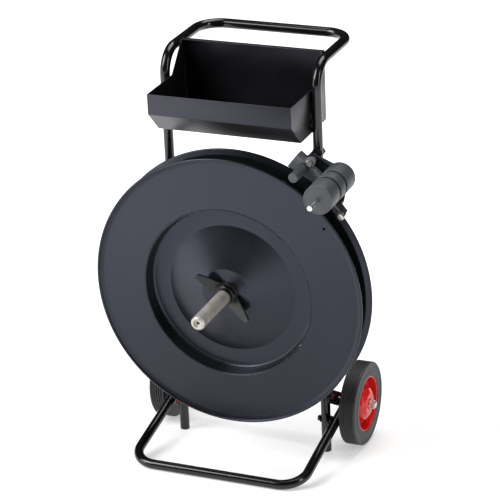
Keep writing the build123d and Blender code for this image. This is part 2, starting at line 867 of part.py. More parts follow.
rollers = {
    "roller_front": (roller_front, -10.0, roller_r),
    "roller_middle": (0.0, 27.0, roller_r),
    "roller_rear": (37.0, 86.0, roller_r),
}
for name, (front_y, rear_y, radius) in rollers.items():
    with BuildPart() as strap_roller:
        with BuildSketch(face(rear_y)):
            with Locations((roller_x, roller_z)):
                Circle(radius)
        extrude(amount=rear_y - front_y)
        chamfer(strap_roller.edges().filter_by(GeomType.CIRCLE), length=0.8)
        with BuildSketch(face(rear_y)):
            with Locations((roller_x, roller_z)):
                Circle(pin_r + run)
        extrude(amount=rear_y - front_y, mode=Mode.SUBTRACT)
    finish(strap_roller, name)

side_gap = 0.3             # running gap beside each roller
spacer_runs = [(-10.0, 0.0, 29.5), (27.0, 37.0, 29.5), (86.0, lever_front, 9.0)]
with BuildPart() as roller_spacers:
    for front_y, rear_y, radius in spacer_runs:
        with BuildSketch(face(rear_y - side_gap)):
            with Locations((roller_x, roller_z)):
                Circle(radius)
                Circle(pin_r + fit, mode=Mode.SUBTRACT)
        extrude(amount=rear_y - front_y - 2 * side_gap)
finish(roller_spacers, "roller_spacers")

shaft_front = -106.0
shaft_head_t = 8.0
shaft_head_r = 6.5
shaft_rear = lever_rear + seat + pin_nut_t
with BuildPart() as roller_shaft:
    with BuildSketch(face(shaft_rear)):
        with Locations((roller_x, roller_z)):
            Circle(pin_r)
    extrude(amount=shaft_rear - shaft_front)
    with BuildSketch(face(shaft_front + shaft_head_t)):
        with Locations((roller_x, roller_z)):
            RegularPolygon(shaft_head_r, 6)
    extrude(amount=shaft_head_t)
finish(roller_shaft, "roller_shaft")

with BuildPart() as shaft_nuts:
    for x, z, y in ((guide_x, guide_z, plate_y + channel_t), (roller_x, roller_z, lever_rear)):
        with BuildSketch(face(y + seat + pin_nut_t)):
            with Locations((x, z)):
                RegularPolygon(pin_nut_r, 6)
                Circle(pin_r + fit, mode=Mode.SUBTRACT)
        extrude(amount=pin_nut_t)
finish(shaft_nuts, "shaft_nuts")

shoe_boss_r = 7.0
boss_rear = shoe_front + 3.0
boss_front = shoe_front - shoe_boss
with BuildPart() as brake_shoe:
    with BuildSketch(face(shoe_rear - seat)):
        with BuildLine(mode=Mode.PRIVATE) as shoe_arc:
            CenterArc((0, 0), shoe_r + shoe_t / 2, shoe_angle, shoe_span)
        SlotArc(shoe_arc.wire(), shoe_t)
        Circle(shoe_r, mode=Mode.SUBTRACT)
    extrude(amount=shoe_rear - seat - shoe_front)
    with BuildSketch(face(boss_rear)):
        with Locations((shoe_bolt_x, shoe_bolt_z)):
            Circle(shoe_boss_r)
        Circle(shoe_r, mode=Mode.SUBTRACT)
    extrude(amount=boss_rear - boss_front)
    with BuildSketch(face(boss_rear)):
        with Locations((shoe_bolt_x, shoe_bolt_z)):
            Circle(pin_r + fit)
    extrude(amount=boss_rear - boss_front, mode=Mode.SUBTRACT)
finish(brake_shoe, "brake_shoe")

with BuildPart() as brake_lining:
    for start in (shoe_angle, shoe_angle + shoe_span - block_span):
        with BuildSketch(face(shoe_rear - 1)):
            with BuildLine(mode=Mode.PRIVATE) as lining_arc:
                CenterArc((0, 0), lining_r + lining_t / 2, start, block_span)
            SlotArc(lining_arc.wire(), lining_t)
        extrude(amount=shoe_rear - 1 - shoe_front)
finish(brake_lining, "brake_lining")

with BuildPart() as shoe_bolt:
    with BuildSketch(face(boss_rear - seat)):
        with Locations((shoe_bolt_x, shoe_bolt_z)):
            Circle(pin_r)
    extrude(amount=boss_rear - seat - boss_front)
    with BuildSketch(face(boss_front - seat)):
        with Locations((shoe_bolt_x, shoe_bolt_z)):
            RegularPolygon(pin_nut_r, 6)
    extrude(amount=head_t)
    with BuildSketch(face(boss_front)):
        with Locations((shoe_bolt_x, shoe_bolt_z)):
            Circle(pin_r)
    extrude(amount=seat)
finish(shoe_bolt, "shoe_bolt")

# ---- brake arm pivot on the right upright -------------------------------------------
pivot_hex_r = 7.6          # turned-down head at the front
pivot_nut_r = 10.5
pivot_head_t = 7.0
pivot_nut_t = 10.0
pivot_end = upright_y + tube_r + seat + pivot_nut_t
pivot_washer_t = 1.5
head_back = plate_y - side_gap
with BuildPart() as pivot_bolt:
    with BuildSketch(face(pivot_end)):
        with Locations((pivot_x, pivot_z)):
            Circle(pivot_r)
    extrude(amount=pivot_end - head_back)
    with BuildSketch(face(head_back)):
        with Locations((pivot_x, pivot_z)):
            Circle(pivot_r + free)
    extrude(amount=pivot_washer_t)
    with BuildSketch(face(head_back - pivot_washer_t)):
        with Locations((pivot_x, pivot_z)):
            RegularPolygon(pivot_hex_r, 6)
    extrude(amount=pivot_head_t)
finish(pivot_bolt, "pivot_bolt")

with BuildPart() as pivot_nut:
    with BuildSketch(face(pivot_end)):
        with Locations((pivot_x, pivot_z)):
            RegularPolygon(pivot_nut_r, 6)
            Circle(pivot_r + fit, mode=Mode.SUBTRACT)
    extrude(amount=pivot_nut_t)
finish(pivot_nut, "pivot_nut")

cup_r = 14.0
cup_bore = 12.0
cup_front = channel_rear + free
cup_floor = upright_y - tube_r - free
with BuildPart() as pivot_boss:
    with BuildSketch(face(cup_floor + tube_r / 2)):
        with Locations((pivot_x, pivot_z)):
            Circle(cup_r)
            Circle(pivot_r + fit, mode=Mode.SUBTRACT)
    extrude(amount=cup_floor + tube_r / 2 - cup_front)
    with BuildSketch(face(cup_floor)):
        with Locations((pivot_x, pivot_z)):
            Circle(cup_bore)
    extrude(amount=cup_floor - cup_front, mode=Mode.SUBTRACT)
    with BuildSketch(level(pivot_z - 2 * cup_r)):
        with Locations((upright_x, upright_y)):
            Circle(tube_r + seat)
    extrude(amount=4 * cup_r, mode=Mode.SUBTRACT)
finish(pivot_boss, "pivot_boss")

# Torsion spring: a straight leg that presses on the channel, then turns round the bolt.
wire_r = 1.0
coil_r = 8.6
coil_front = 97.0
coil_rear = cup_floor - wire_r - 0.6
coil_turns = 5
tip_u = 32.0               # where the leg lands along the channel
tip_v = bracket_h / 2 + wire_r + side_gap
turn = math.radians(bracket_turn)
tip_x = bracket_x + tip_u * math.cos(turn) - tip_v * math.sin(turn)
tip_z = bracket_z + tip_u * math.sin(turn) + tip_v * math.cos(turn)
tip_reach = math.hypot(tip_x - pivot_x, tip_z - pivot_z)
coil_start = math.atan2(tip_z - pivot_z, tip_x - pivot_x) + math.acos(coil_r / tip_reach)
coil_rise = (coil_rear - coil_front) / (coil_turns * 2 * math.pi)    # per radian


def coil_point(angle):
    """Point of the wire's centre line, and its direction, at an angle round the pivot."""
    x = pivot_x + coil_r * math.cos(coil_start + angle)
    z = pivot_z + coil_r * math.sin(coil_start + angle)
    spot = Vector(*place(x, coil_front + coil_rise * angle, z))
    dx = -coil_r * math.sin(coil_start + angle)
    dz = coil_r * math.cos(coil_start + angle)
    way = Vector(dx, coil_rise * cos_l - dz * sin_l, coil_rise * sin_l + dz * cos_l)
    return spot, way.normalized()


knots = [coil_point(i * math.pi / 2) for i in range(4 * coil_turns + 1)]
leg_len = math.sqrt(tip_reach ** 2 - coil_r ** 2)
leg_start = knots[0][0] - knots[0][1] * leg_len
leg_end = knots[-1][0] + knots[-1][1] * (2 * wire_r)
with BuildPart() as torsion_spring:
    with BuildLine() as wire_line:
        Line(leg_start, knots[0][0])
        for (p0, t0), (p1, t1) in zip(knots, knots[1:]):
            chord = p1 - p0
            a = 2 * (1 - t0.dot(t1))
            b = 2 * chord.dot(t0 + t1)
            d = (-b + math.sqrt(b * b + 4 * a * chord.dot(chord))) / (2 * a)
            c0 = p0 + t0 * d
            c1 = p1 - t1 * d
            middle = (c0 + c1) * 0.5
            TangentArc(p0, middle, tangent=t0)
            TangentArc(middle, p1, tangent=c1 - c0)
        Line(knots[-1][0], leg_end)
    with BuildSketch(Plane(origin=leg_start, z_dir=knots[0][1])):
        Circle(wire_r)
    sweep(path=wire_line.wire())
finish(torsion_spring, "torsion_spring")

spring_gap = min((knots[i][0] - knots[i + 4][0]).length for i in range(4 * coil_turns - 3))
print("torsion spring, least gap between turns:", round(spring_gap - 2 * wire_r, 2))
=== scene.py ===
"""Looks of a strapping coil dispenser trolley, built round its packed construction.

Pieces are drawn in the machine's own square frame, in millimetres: X to the right, Y to the
rear, Z up along the uprights, with the origin on the spindle axis in the front rim plane.
The stand matrix then leans them forward onto the floor, in metres.
"""
import json
import math

import bmesh
import bpy
from mathutils import Matrix, Vector


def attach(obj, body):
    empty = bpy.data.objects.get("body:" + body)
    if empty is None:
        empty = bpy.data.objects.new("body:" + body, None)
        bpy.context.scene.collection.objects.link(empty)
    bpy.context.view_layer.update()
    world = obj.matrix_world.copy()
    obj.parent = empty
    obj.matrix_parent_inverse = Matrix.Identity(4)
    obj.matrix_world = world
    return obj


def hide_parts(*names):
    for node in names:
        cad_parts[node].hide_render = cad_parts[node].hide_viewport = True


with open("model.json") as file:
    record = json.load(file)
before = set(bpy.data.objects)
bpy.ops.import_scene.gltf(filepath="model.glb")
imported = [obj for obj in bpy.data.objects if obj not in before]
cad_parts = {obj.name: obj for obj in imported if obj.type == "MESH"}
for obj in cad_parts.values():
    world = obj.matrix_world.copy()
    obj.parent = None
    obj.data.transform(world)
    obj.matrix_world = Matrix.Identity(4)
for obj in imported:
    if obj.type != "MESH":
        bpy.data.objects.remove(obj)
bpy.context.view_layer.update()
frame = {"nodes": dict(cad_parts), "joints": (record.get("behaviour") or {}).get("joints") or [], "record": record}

# ---- the machine's own frame ----
joints = {joint["name"]: joint for joint in frame["joints"]}
spin = joints["spindle_spin"]
lean = math.atan2(spin["axis"][2], spin["axis"][1])
stand = (
    Matrix.Translation(spin["pos_m"])
    @ Matrix.Rotation(lean, 4, "X")
    @ Matrix.Scale(0.001, 4)
)
unstand = stand.inverted()


class Span:
    """Extent of a CAD node in the machine's own frame, in mm."""

    def __init__(self, node):
        points = [unstand @ v.co for v in frame["nodes"][node].data.vertices]
        self.low = Vector([min(p[i] for p in points) for i in range(3)])
        self.high = Vector([max(p[i] for p in points) for i in range(3)])
        self.mid = (self.low + self.high) / 2
        self.size = self.high - self.low


# ---- outlines ----
def rounded(points, radius, closed=True, steps=5):
    """An outline with its corners turned into arcs. The radius is one number or a list."""
    points = [Vector(p) for p in points]
    count = len(points)
    radii = radius if isinstance(radius, (list, tuple)) else [radius] * count
    result = []
    for i, corner in enumerate(points):
        before = points[i - 1]
        after = points[(i + 1) % count]
        ends = not closed and i in (0, count - 1)
        a = (before - corner).normalized()
        b = (after - corner).normalized()
        half = 0 if ends else a.angle(b, math.pi) / 2
        if ends or radii[i] <= 0 or half > math.radians(89):
            result.append(corner)
            continue
        reach = radii[i] / math.tan(half)
        reach = min(reach, 0.49 * (before - corner).length, 0.49 * (after - corner).length)
        r = reach * math.tan(half)
        centre = corner + (a + b).normalized() * (r / math.sin(half))
        start = corner + a * reach - centre
        turn = start.angle_signed(corner + b * reach - centre)
        for k in range(steps + 1):
            angle = -turn * k / steps
            c = math.cos(angle)
            s = math.sin(angle)
            result.append(centre + Vector((start.x * c - start.y * s, start.x * s + start.y * c)))
    return result


def sheet_loop(path, thickness):
    """Closed outline of a bent sheet from its centre line, with softened edges."""
    left = []
    right = []
    for i, p in enumerate(path):
        ahead = path[min(i + 1, len(path) - 1)] - path[max(i - 1, 0)]
        out = Vector((-ahead.y, ahead.x)).normalized() * thickness / 2
        left.append(p + out)
        right.append(p - out)
    soft = thickness / 5
    first = (path[1] - path[0]).normalized() * soft
    last = (path[-2] - path[-1]).normalized() * soft
    left[0] += first
    right[0] += first
    left[-1] += last
    right[-1] += last
    across_last = (left[-1] - right[-1]).normalized() * (thickness / 2 - soft)
    across_first = (left[0] - right[0]).normalized() * (thickness / 2 - soft)
    end = [path[-1] + across_last, path[-1] - across_last]
    start = [path[0] - across_first, path[0] + across_first]
    return left + end + right[::-1] + start


def circle(centre, radius, count):
    """Points evenly spaced round a centre."""
    return [
        Vector((
            centre[0] + radius * math.cos(2 * math.pi * k / count),
            centre[1] + radius * math.sin(2 * math.pi * k / count),
        ))
        for k in range(count)
    ]


# ---- meshes ----
def turned(loops, at=(0, 0), along="Y", steps=96):
    """Closed (radius, height) outlines turned about an axis along X or Y at a place."""
    bm = bmesh.new()
    for loop in loops:
        rings = []
        for k in range(steps):
            angle = 2 * math.pi * k / steps
            c = math.cos(angle)
            s = math.sin(angle)
            ring = []
            for r, h in loop:
                if along == "Y":
                    co = (at[0] + r * c, h, at[1] + r * s)
                else:
                    co = (h, at[0] + r * c, at[1] + r * s)
                ring.append(bm.verts.new(co))
            rings.append(ring)
        for k, ring in enumerate(rings):
            following = rings[(k + 1) % steps]
            for i in range(len(ring)):
                j = (i + 1) % len(ring)
                bm.faces.new((ring[i], ring[j], following[j], following[i]))
    bmesh.ops.remove_doubles(bm, verts=bm.verts, dist=1e-4)
    bmesh.ops.dissolve_degenerate(bm, edges=bm.edges, dist=1e-5)
    bmesh.ops.recalc_face_normals(bm, faces=bm.faces)
    return bm


def merged(bms):
    """Several meshes as one."""
    whole = bmesh.new()
    for bm in bms:
        mesh = bpy.data.meshes.new("part")
        bm.to_mesh(mesh)
        whole.from_mesh(mesh)
        bpy.data.meshes.remove(mesh)
        bm.free()
    return whole


def cad_copy(name):
    """Copy of a CAD node in the machine's frame, with flat faces made whole."""
    bm = bmesh.new()
    bm.from_mesh(frame["nodes"][name].data)
    bm.transform(unstand)
    bmesh.ops.remove_doubles(bm, verts=bm.verts, dist=1e-3)
    bmesh.ops.dissolve_limit(bm, angle_limit=math.radians(0.5), verts=bm.verts, edges=bm.edges)
    return bm


def piece(name, source, body, finish, replaced, bevel=0.0, bend=35, segments=2):
    """Adds a piece from a bmesh or mesh in the machine's frame, in its body and finish."""
    mesh = source
    if isinstance(source, bmesh.types.BMesh):
        mesh = bpy.data.meshes.new(name)
        source.to_mesh(mesh)
        source.free()
    mesh.transform(stand)
    mesh.name = name
    obj = bpy.data.objects.new(name, mesh)
    bpy.context.scene.collection.objects.link(obj)
    mesh.materials.clear()
    mesh.materials.append(finishes[finish])
    mesh.polygons.foreach_set("use_smooth", [True] * len(mesh.polygons))
    if bevel:
        edge = obj.modifiers.new("edge", "BEVEL")
        edge.width = bevel * 0.001
        edge.segments = segments
        edge.limit_method = "ANGLE"
        edge.angle_limit = math.radians(bend)
        edge.harden_normals = True
        edge.use_clamp_overlap = True
        bake(obj)
    else:
        mesh.set_sharp_from_angle(angle=math.radians(bend))
    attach(obj, body)
    if replaced:
        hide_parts(*replaced)
    return obj


def bake(obj):
    """Turns an object's modifiers into its plain mesh."""
    graph = bpy.context.evaluated_depsgraph_get()
    mesh = bpy.data.meshes.new_from_object(obj.evaluated_get(graph))
    mesh.name = obj.data.name
    obj.modifiers.clear()
    obj.data = mesh


# ---- node trees ----
def new_group(kind, name, inputs, outputs):
    """Node group with named inputs, as name: (socket type, value), and named outputs."""
    group = bpy.data.node_groups.new(name, kind)
    for label, (socket, value) in inputs.items():
        made = group.interface.new_socket(label, in_out="INPUT", socket_type=socket)
        if value is not None:
            made.default_value = value
    for label, socket in outputs.items():
        group.interface.new_socket(label, in_out="OUTPUT", socket_type=socket)
    start = group.nodes.new("NodeGroupInput")
    end = group.nodes.new("NodeGroupOutput")
    return group, start.outputs, end.inputs


def node(tree, kind, feed=None, **settings):
    """Adds a node, with its settings and with sockets fed by values or other sockets."""
    made = tree.nodes.new(kind)
    for key, value in settings.items():
        setattr(made, key, value)
    for key, value in (feed or {}).items():
        if isinstance(value, bpy.types.NodeSocket):
            tree.links.new(value, made.inputs[key])
        else:
            made.inputs[key].default_value = value
    return made


def first(tree, kind, feed=None, **settings):
    """Adds a node and gives its first output."""
    return node(tree, kind, feed, **settings).outputs[0]


def math_node(tree, operation, *values, clamp=False):
    """Adds a math node and gives its output."""
    feed = dict(enumerate(values))
    return first(tree, "ShaderNodeMath", feed, operation=operation, use_clamp=clamp)


def object_place(tree):
    return node(tree, "ShaderNodeTexCoord").outputs["Object"]


def noise(tree, place, scale, detail, roughness=0.5):
    """Adds a noise texture and gives its value."""
    feed = {"Vector": place, "Scale": scale, "Detail": detail, "Roughness": roughness}
    return first(tree, "ShaderNodeTexNoise", feed)


FLOAT = "NodeSocketFloat"
VECTOR = "NodeSocketVector"


def bevel_mask_group():
    """Mask of the convex edges of a shape, broken up by noise."""
    group, given, out = new_group(
        "ShaderNodeTree", "edge_wear",
        {"Width": (FLOAT, 0.0008), "Strength": (FLOAT, 4.0), "Break Scale": (FLOAT, 90.0)},
        {"Mask": FLOAT},
    )
    rounded_normal = first(group, "ShaderNodeBevel", {"Radius": given["Width"]}, samples=4)
    normal = node(group, "ShaderNodeNewGeometry").outputs["Normal"]
    facing = node(
        group, "ShaderNodeVectorMath", {0: rounded_normal, 1: normal}, operation="DOT_PRODUCT"
    ).outputs["Value"]
    turned_away = math_node(group, "SUBTRACT", 1.0, facing)
    breaks = noise(group, object_place(group), given["Break Scale"], 4.0)
    patchy = math_node(group, "SUBTRACT", breaks, 0.38, clamp=True)
    strong = math_node(group, "MULTIPLY", turned_away, given["Strength"])
    broken = math_node(group, "MULTIPLY", patchy, 3.0)
    mask = math_node(group, "MULTIPLY", strong, broken, clamp=True)
    group.links.new(mask, out["Mask"])
    return group


def powder_group():
    """Powder coat: fine orange peel height, and slow patches for tone and gloss."""
    group, given, out = new_group(
        "ShaderNodeTree", "powder_coat",
        {"Peel Scale": (FLOAT, 420.0), "Patch Scale": (FLOAT, 7.0)},
        {"Height": FLOAT, "Patch": FLOAT, "Speck": FLOAT},
    )
    place = object_place(group)
    group.links.new(noise(group, place, given["Peel Scale"], 2.0, 0.45), out["Height"])
    group.links.new(noise(group, place, given["Patch Scale"], 5.0, 0.6), out["Patch"])
    finer = math_node(group, "MULTIPLY", given["Peel Scale"], 2.2)
    high = math_node(group, "SUBTRACT", noise(group, place, finer, 1.0), 0.68, clamp=True)
    group.links.new(math_node(group, "MULTIPLY", high, 8.0, clamp=True), out["Speck"])
    return group


def turned_group():
    """Turning lines round an axis: a fine value that changes only along a direction."""
    group, given, out = new_group(
        "ShaderNodeTree", "turning_lines",
        {"Direction": (VECTOR, (0, 1, 0)), "Pitch": (FLOAT, 900.0), "Smudge Scale": (FLOAT, 45.0)},
        {"Lines": FLOAT, "Smudge": FLOAT},
    )
    place = object_place(group)
    along = node(
        group, "ShaderNodeVectorMath", {0: place, 1: given["Direction"]}, operation="DOT_PRODUCT"
    ).outputs["Value"]
    lines = first(
        group, "ShaderNodeTexNoise",
        {"W": math_node(group, "MULTIPLY", along, given["Pitch"]), "Scale": 1.0, "Detail": 3.0},
        noise_dimensions="1D",
    )
    group.links.new(lines, out["Lines"])
    group.links.new(noise(group, place, given["Smudge Scale"], 6.0, 0.65), out["Smudge"])
    return group


def dust_group():
    """Dust that settles on faces that look up."""
    group, given, out = new_group(
        "ShaderNodeTree", "settled_dust", {"Scale": (FLOAT, 60.0)}, {"Mask": FLOAT}
    )
    normal = node(group, "ShaderNodeNewGeometry").outputs["Normal"]
    up = node(group, "ShaderNodeSeparateXYZ", {"Vector": normal}).outputs["Z"]
    level = math_node(group, "POWER", math_node(group, "MAXIMUM", up, 0.0), 3.0)
    uneven = noise(group, object_place(group), given["Scale"], 6.0, 0.7)
    mask = math_node(group, "MULTIPLY", level, uneven, clamp=True)
    group.links.new(mask, out["Mask"])
    return group


edge_wear = bevel_mask_group()
powder_coat = powder_group()
turning_lines = turned_group()
settled_dust = dust_group()
finishes = {}
PALE_DUST = (0.3, 0.29, 0.27)
GREY_DUST = (0.25, 0.24, 0.22)
PEEL_DEPTH = 0.0006
LINE_DEPTH = 0.0004
GRAIN_DEPTH = 0.0005


def use(tree, group, **values):
    """Adds a node group to a material, with some of its inputs set."""
    made = tree.nodes.new("ShaderNodeGroup")
    made.node_tree = group
    for key, value in values.items():
        made.inputs[key.replace("_", " ")].default_value = value
    return made


def mix_colour(tree, mask, a, b):
    """Mixes two colours, each a value or a socket, by a mask."""
    made = node(tree, "ShaderNodeMix", data_type="RGBA")
    tree.links.new(mask, made.inputs[0])
    for socket, value in ((made.inputs[6], a), (made.inputs[7], b)):
        if isinstance(value, bpy.types.NodeSocket):
            tree.links.new(value, socket)
        else:
            socket.default_value = (*value, 1)
    return made.outputs[2]


def spread(tree, value, low, high, source=(0.3, 0.7)):
    """Maps a noise value onto a range."""
    ends = {"From Min": source[0], "From Max": source[1], "To Min": low, "To Max": high}
    return node(tree, "ShaderNodeMapRange", {"Value": value, **ends}).outputs["Result"]


def start_finish(name, **sockets):
    """New material with its Principled shader, kept under its slot name."""
    material = bpy.data.materials.new(name)
    material.use_nodes = True
    tree = material.node_tree
    shader = tree.nodes["Principled BSDF"]
    for key, value in sockets.items():
        shader.inputs[key.replace("_", " ")].default_value = value
    finishes[name] = material
    return tree, shader


def bump(tree, shader, height, strength, distance):
    """Relief from a height value, with its depth in metres."""
    feed = {"Height": height, "Strength": strength, "Distance": distance}
    tree.links.new(first(tree, "ShaderNodeBump", feed), shader.inputs["Normal"])


def painted(name, colour, rough, peel=0.10, peel_scale=420.0, wear=0.5,
            worn=(0.35, 0.35, 0.36), dust=0.0, **sockets):
    """Painted or powder-coated metal: orange peel, uneven gloss, rubbed edges, a little dust."""
    tree, shader = start_finish(name, **sockets)
    coat = use(tree, powder_coat, Peel_Scale=peel_scale)
    edges = use(tree, edge_wear)
    lighter = tuple(min(1, c * 1.5 + 0.001) for c in colour)
    tone = mix_colour(tree, spread(tree, coat.outputs["Patch"], 0.0, 1.0), colour, lighter)
    rubbed = math_node(tree, "MULTIPLY", edges.outputs["Mask"], wear)
    base = mix_colour(tree, rubbed, tone, worn)
    if dust:
        settled = use(tree, settled_dust)
        share = math_node(tree, "MULTIPLY", settled.outputs["Mask"], dust)
        base = mix_colour(tree, share, base, PALE_DUST)
    tree.links.new(base, shader.inputs["Base Color"])
    gloss = spread(tree, coat.outputs["Patch"], rough * 0.88, rough * 1.14)
    rougher = math_node(tree, "MULTIPLY_ADD", coat.outputs["Speck"], 0.06, gloss)
    dulled = math_node(tree, "MULTIPLY_ADD", rubbed, 0.15, rougher)
    tree.links.new(dulled, shader.inputs["Roughness"])
    bump(tree, shader, coat.outputs["Height"], peel, PEEL_DEPTH)


def bare(name, colour, rough, direction=(0, 1, 0), pitch=900.0, lines=0.08, mottle=0.35,
         dark=0.45, metallic=1.0):
    """Bare or plated metal: turning or drawing lines, smudges and darker stains."""
    tree, shader = start_finish(name, Metallic=metallic)
    marks = use(tree, turning_lines, Direction=direction, Pitch=pitch)
    stained = tuple(c * dark for c in colour)
    shade = math_node(
        tree, "MULTIPLY", spread(tree, marks.outputs["Smudge"], 0.0, 1.0, (0.42, 0.72)), mottle
    )
    tree.links.new(mix_colour(tree, shade, colour, stained), shader.inputs["Base Color"])
    gloss = spread(tree, marks.outputs["Lines"], rough * 0.8, rough * 1.25)
    dulled = math_node(tree, "MULTIPLY_ADD", marks.outputs["Smudge"], 0.10, gloss)
    tree.links.new(dulled, shader.inputs["Roughness"])
    bump(tree, shader, marks.outputs["Lines"], lines, LINE_DEPTH)


def moulded(name, colour, rough, scale=700.0, height=0.2):
    """Rubber or moulded plastic: fine pebble, paler bloom and a little dust."""
    tree, shader = start_finish(name)
    grain = use(tree, powder_coat, Peel_Scale=scale, Patch_Scale=16.0)
    settled = use(tree, settled_dust)
    bloom = tuple(c * 1.8 + 0.006 for c in colour)
    tone = mix_colour(tree, spread(tree, grain.outputs["Patch"], 0.0, 1.0), colour, bloom)
    share = math_node(tree, "MULTIPLY", settled.outputs["Mask"], 0.15)
    base = mix_colour(tree, share, tone, GREY_DUST)
    tree.links.new(base, shader.inputs["Base Color"])
    gloss = spread(tree, grain.outputs["Patch"], rough * 0.85, rough * 1.15)
    tree.links.new(gloss, shader.inputs["Roughness"])
    bump(tree, shader, grain.outputs["Height"], height, GRAIN_DEPTH)


spindle_way = tuple(spin["axis"])
painted("black_tube", (0.004, 0.004, 0.0045), 0.16, peel=0.05, wear=0.25)
painted("black_sheet", (0.006, 0.0066, 0.0076), 0.27, peel=0.06, wear=0.35,
        Specular_Tint=(0.72, 0.76, 1.0, 1))
painted("black_tray", (0.004, 0.004, 0.0045), 0.33, peel=0.10, wear=0.4, dust=0.04,
        Specular_Tint=(0.78, 0.8, 1.0, 1))
painted("grey_arm", (0.15, 0.155, 0.165), 0.38, peel=0.08, wear=0.5)
painted("black_casting", (0.003, 0.003, 0.0035), 0.40, peel=0.35, peel_scale=160.0, wear=0.4)
painted("red_rim", (0.66, 0.012, 0.010), 0.22, peel=0.04, wear=0.12, worn=(0.75, 0.35, 0.33))
bare("zinc", (0.66, 0.66, 0.64), 0.26, direction=(0.3, 0.9, 0.3), pitch=500.0)
bare("spindle_steel", (0.60, 0.56, 0.51), 0.30, direction=spindle_way, pitch=1300.0,
     lines=0.12, mottle=0.6, metallic=0.45)
bare("roller_satin", (0.085, 0.09, 0.10), 0.46, direction=spindle_way, pitch=1600.0,
     lines=0.15, mottle=0.3, dark=0.6, metallic=0.35)
bare("bronze", (0.52, 0.36, 0.18), 0.34)
bare("spring_steel", (0.30, 0.30, 0.31), 0.34)
moulded("rubber", (0.016, 0.016, 0.018), 0.52)
moulded("cap_plastic", (0.012, 0.012, 0.012), 0.45, scale=900.0, height=0.1)
moulded("lining", (0.05, 0.045, 0.04), 0.8, scale=500.0, height=0.5)


# ---- geometry node trees ----
SHAPE = "NodeSocketGeometry"
WHOLE = "NodeSocketInt"


def shape_tree(name, sizes):
    """Geometry node tree that takes a shape, named sizes and a material."""
    return new_group(
        "GeometryNodeTree", name,
        {"Shape": (SHAPE, None), **sizes, "Material": ("NodeSocketMaterial", None)},
        {"Shape": SHAPE},
    )


def close_tree(group, given, out, shape):
    """Ends a tree: instances made real, and the material set."""
    whole = first(group, "GeometryNodeRealizeInstances", {"Geometry": shape})
    feed = {"Geometry": whole, "Material": given["Material"]}
    group.links.new(first(group, "GeometryNodeSetMaterial", feed), out["Shape"])
    return group


def tube_tree():
    """Round tube or wire along the edges of a path, with its corners bent to a radius."""
    group, given, out = shape_tree(
        "bent_tube",
        {
            "Radius": (FLOAT, 11.0), "Bend": (FLOAT, 55.0),
            "Bend Steps": (WHOLE, 24), "Sides": (WHOLE, 48),
        },
    )
    line = first(group, "GeometryNodeMeshToCurve", {"Mesh": given["Shape"]})
    bent = first(
        group, "GeometryNodeFilletCurve",
        {"Curve": line, "Count": given["Bend Steps"], "Radius": given["Bend"]}, mode="POLY",
    )
    section = first(
        group, "GeometryNodeCurvePrimitiveCircle",
        {"Resolution": given["Sides"], "Radius": given["Radius"]},
    )
    feed = {"Curve": bent, "Profile Curve": section, "Fill Caps": True}
    return close_tree(group, given, out, first(group, "GeometryNodeCurveToMesh", feed))


def hexagon_tree():
    """Hexagon heads or nuts with turned corners, one at each point, along its facing."""
    group, given, out = shape_tree(
        "hexagons", {"Corner Radius": (FLOAT, 7.0), "Thickness": (FLOAT, 5.0)}
    )
    corner = given["Corner Radius"]
    thick = given["Thickness"]
    prism = first(
        group, "GeometryNodeMeshCylinder", {"Vertices": 6, "Radius": corner, "Depth": thick}
    )
    small = math_node(group, "MULTIPLY", corner, 0.89)
    large = math_node(group, "MULTIPLY_ADD", thick, 1.73, small)
    cones = []
    for turn in (0.0, math.pi):
        cone = first(
            group, "GeometryNodeMeshCone",
            {"Vertices": 48, "Radius Top": small, "Radius Bottom": large, "Depth": thick},
        )
        half = math_node(group, "MULTIPLY", thick, -0.5)
        down = first(group, "ShaderNodeCombineXYZ", {"Z": half})
        low = first(group, "GeometryNodeTransform", {"Geometry": cone, "Translation": down})
        feed = {"Geometry": low, "Rotation": (turn, 0, 0)}
        cones.append(first(group, "GeometryNodeTransform", feed))
    cut = node(group, "GeometryNodeMeshBoolean", operation="INTERSECT", solver="EXACT")
    for shape in (prism, *cones):
        group.links.new(shape, cut.inputs["Mesh 2"])
    facing = first(
        group, "GeometryNodeInputNamedAttribute", {"Name": "facing"}, data_type="FLOAT_VECTOR"
    )
    turn = first(group, "FunctionNodeAlignRotationToVector", {"Vector": facing}, axis="Z")
    points = first(group, "GeometryNodeMeshToPoints", {"Mesh": given["Shape"]})
    feed = {"Points": points, "Instance": cut.outputs[0], "Rotation": turn}
    return close_tree(group, given, out, first(group, "GeometryNodeInstanceOnPoints", feed))


def weld_tree():
    """Rippled weld bead: flat overlapping drops along the edges of a path."""
    group, given, out = shape_tree(
        "weld_bead", {"Radius": (FLOAT, 2.2), "Ripple": (FLOAT, 1.5), "Seed": (WHOLE, 3)}
    )
    line = first(group, "GeometryNodeMeshToCurve", {"Mesh": given["Shape"]})
    spots = node(
        group, "GeometryNodeCurveToPoints", {"Curve": line, "Length": given["Ripple"]},
        mode="LENGTH",
    ).outputs
    drop = first(
        group, "GeometryNodeMeshUVSphere", {"Segments": 12, "Rings": 8, "Radius": given["Radius"]}
    )
    size = first(
        group, "FunctionNodeRandomValue",
        {"Min": (0.88, 0.88, 0.5), "Max": (1.1, 1.1, 0.66), "Seed": given["Seed"]},
        data_type="FLOAT_VECTOR",
    )
    feed = {
        "Points": spots["Points"], "Instance": drop, "Rotation": spots["Rotation"],
        "Scale": size,
    }
    return close_tree(group, given, out, first(group, "GeometryNodeInstanceOnPoints", feed))


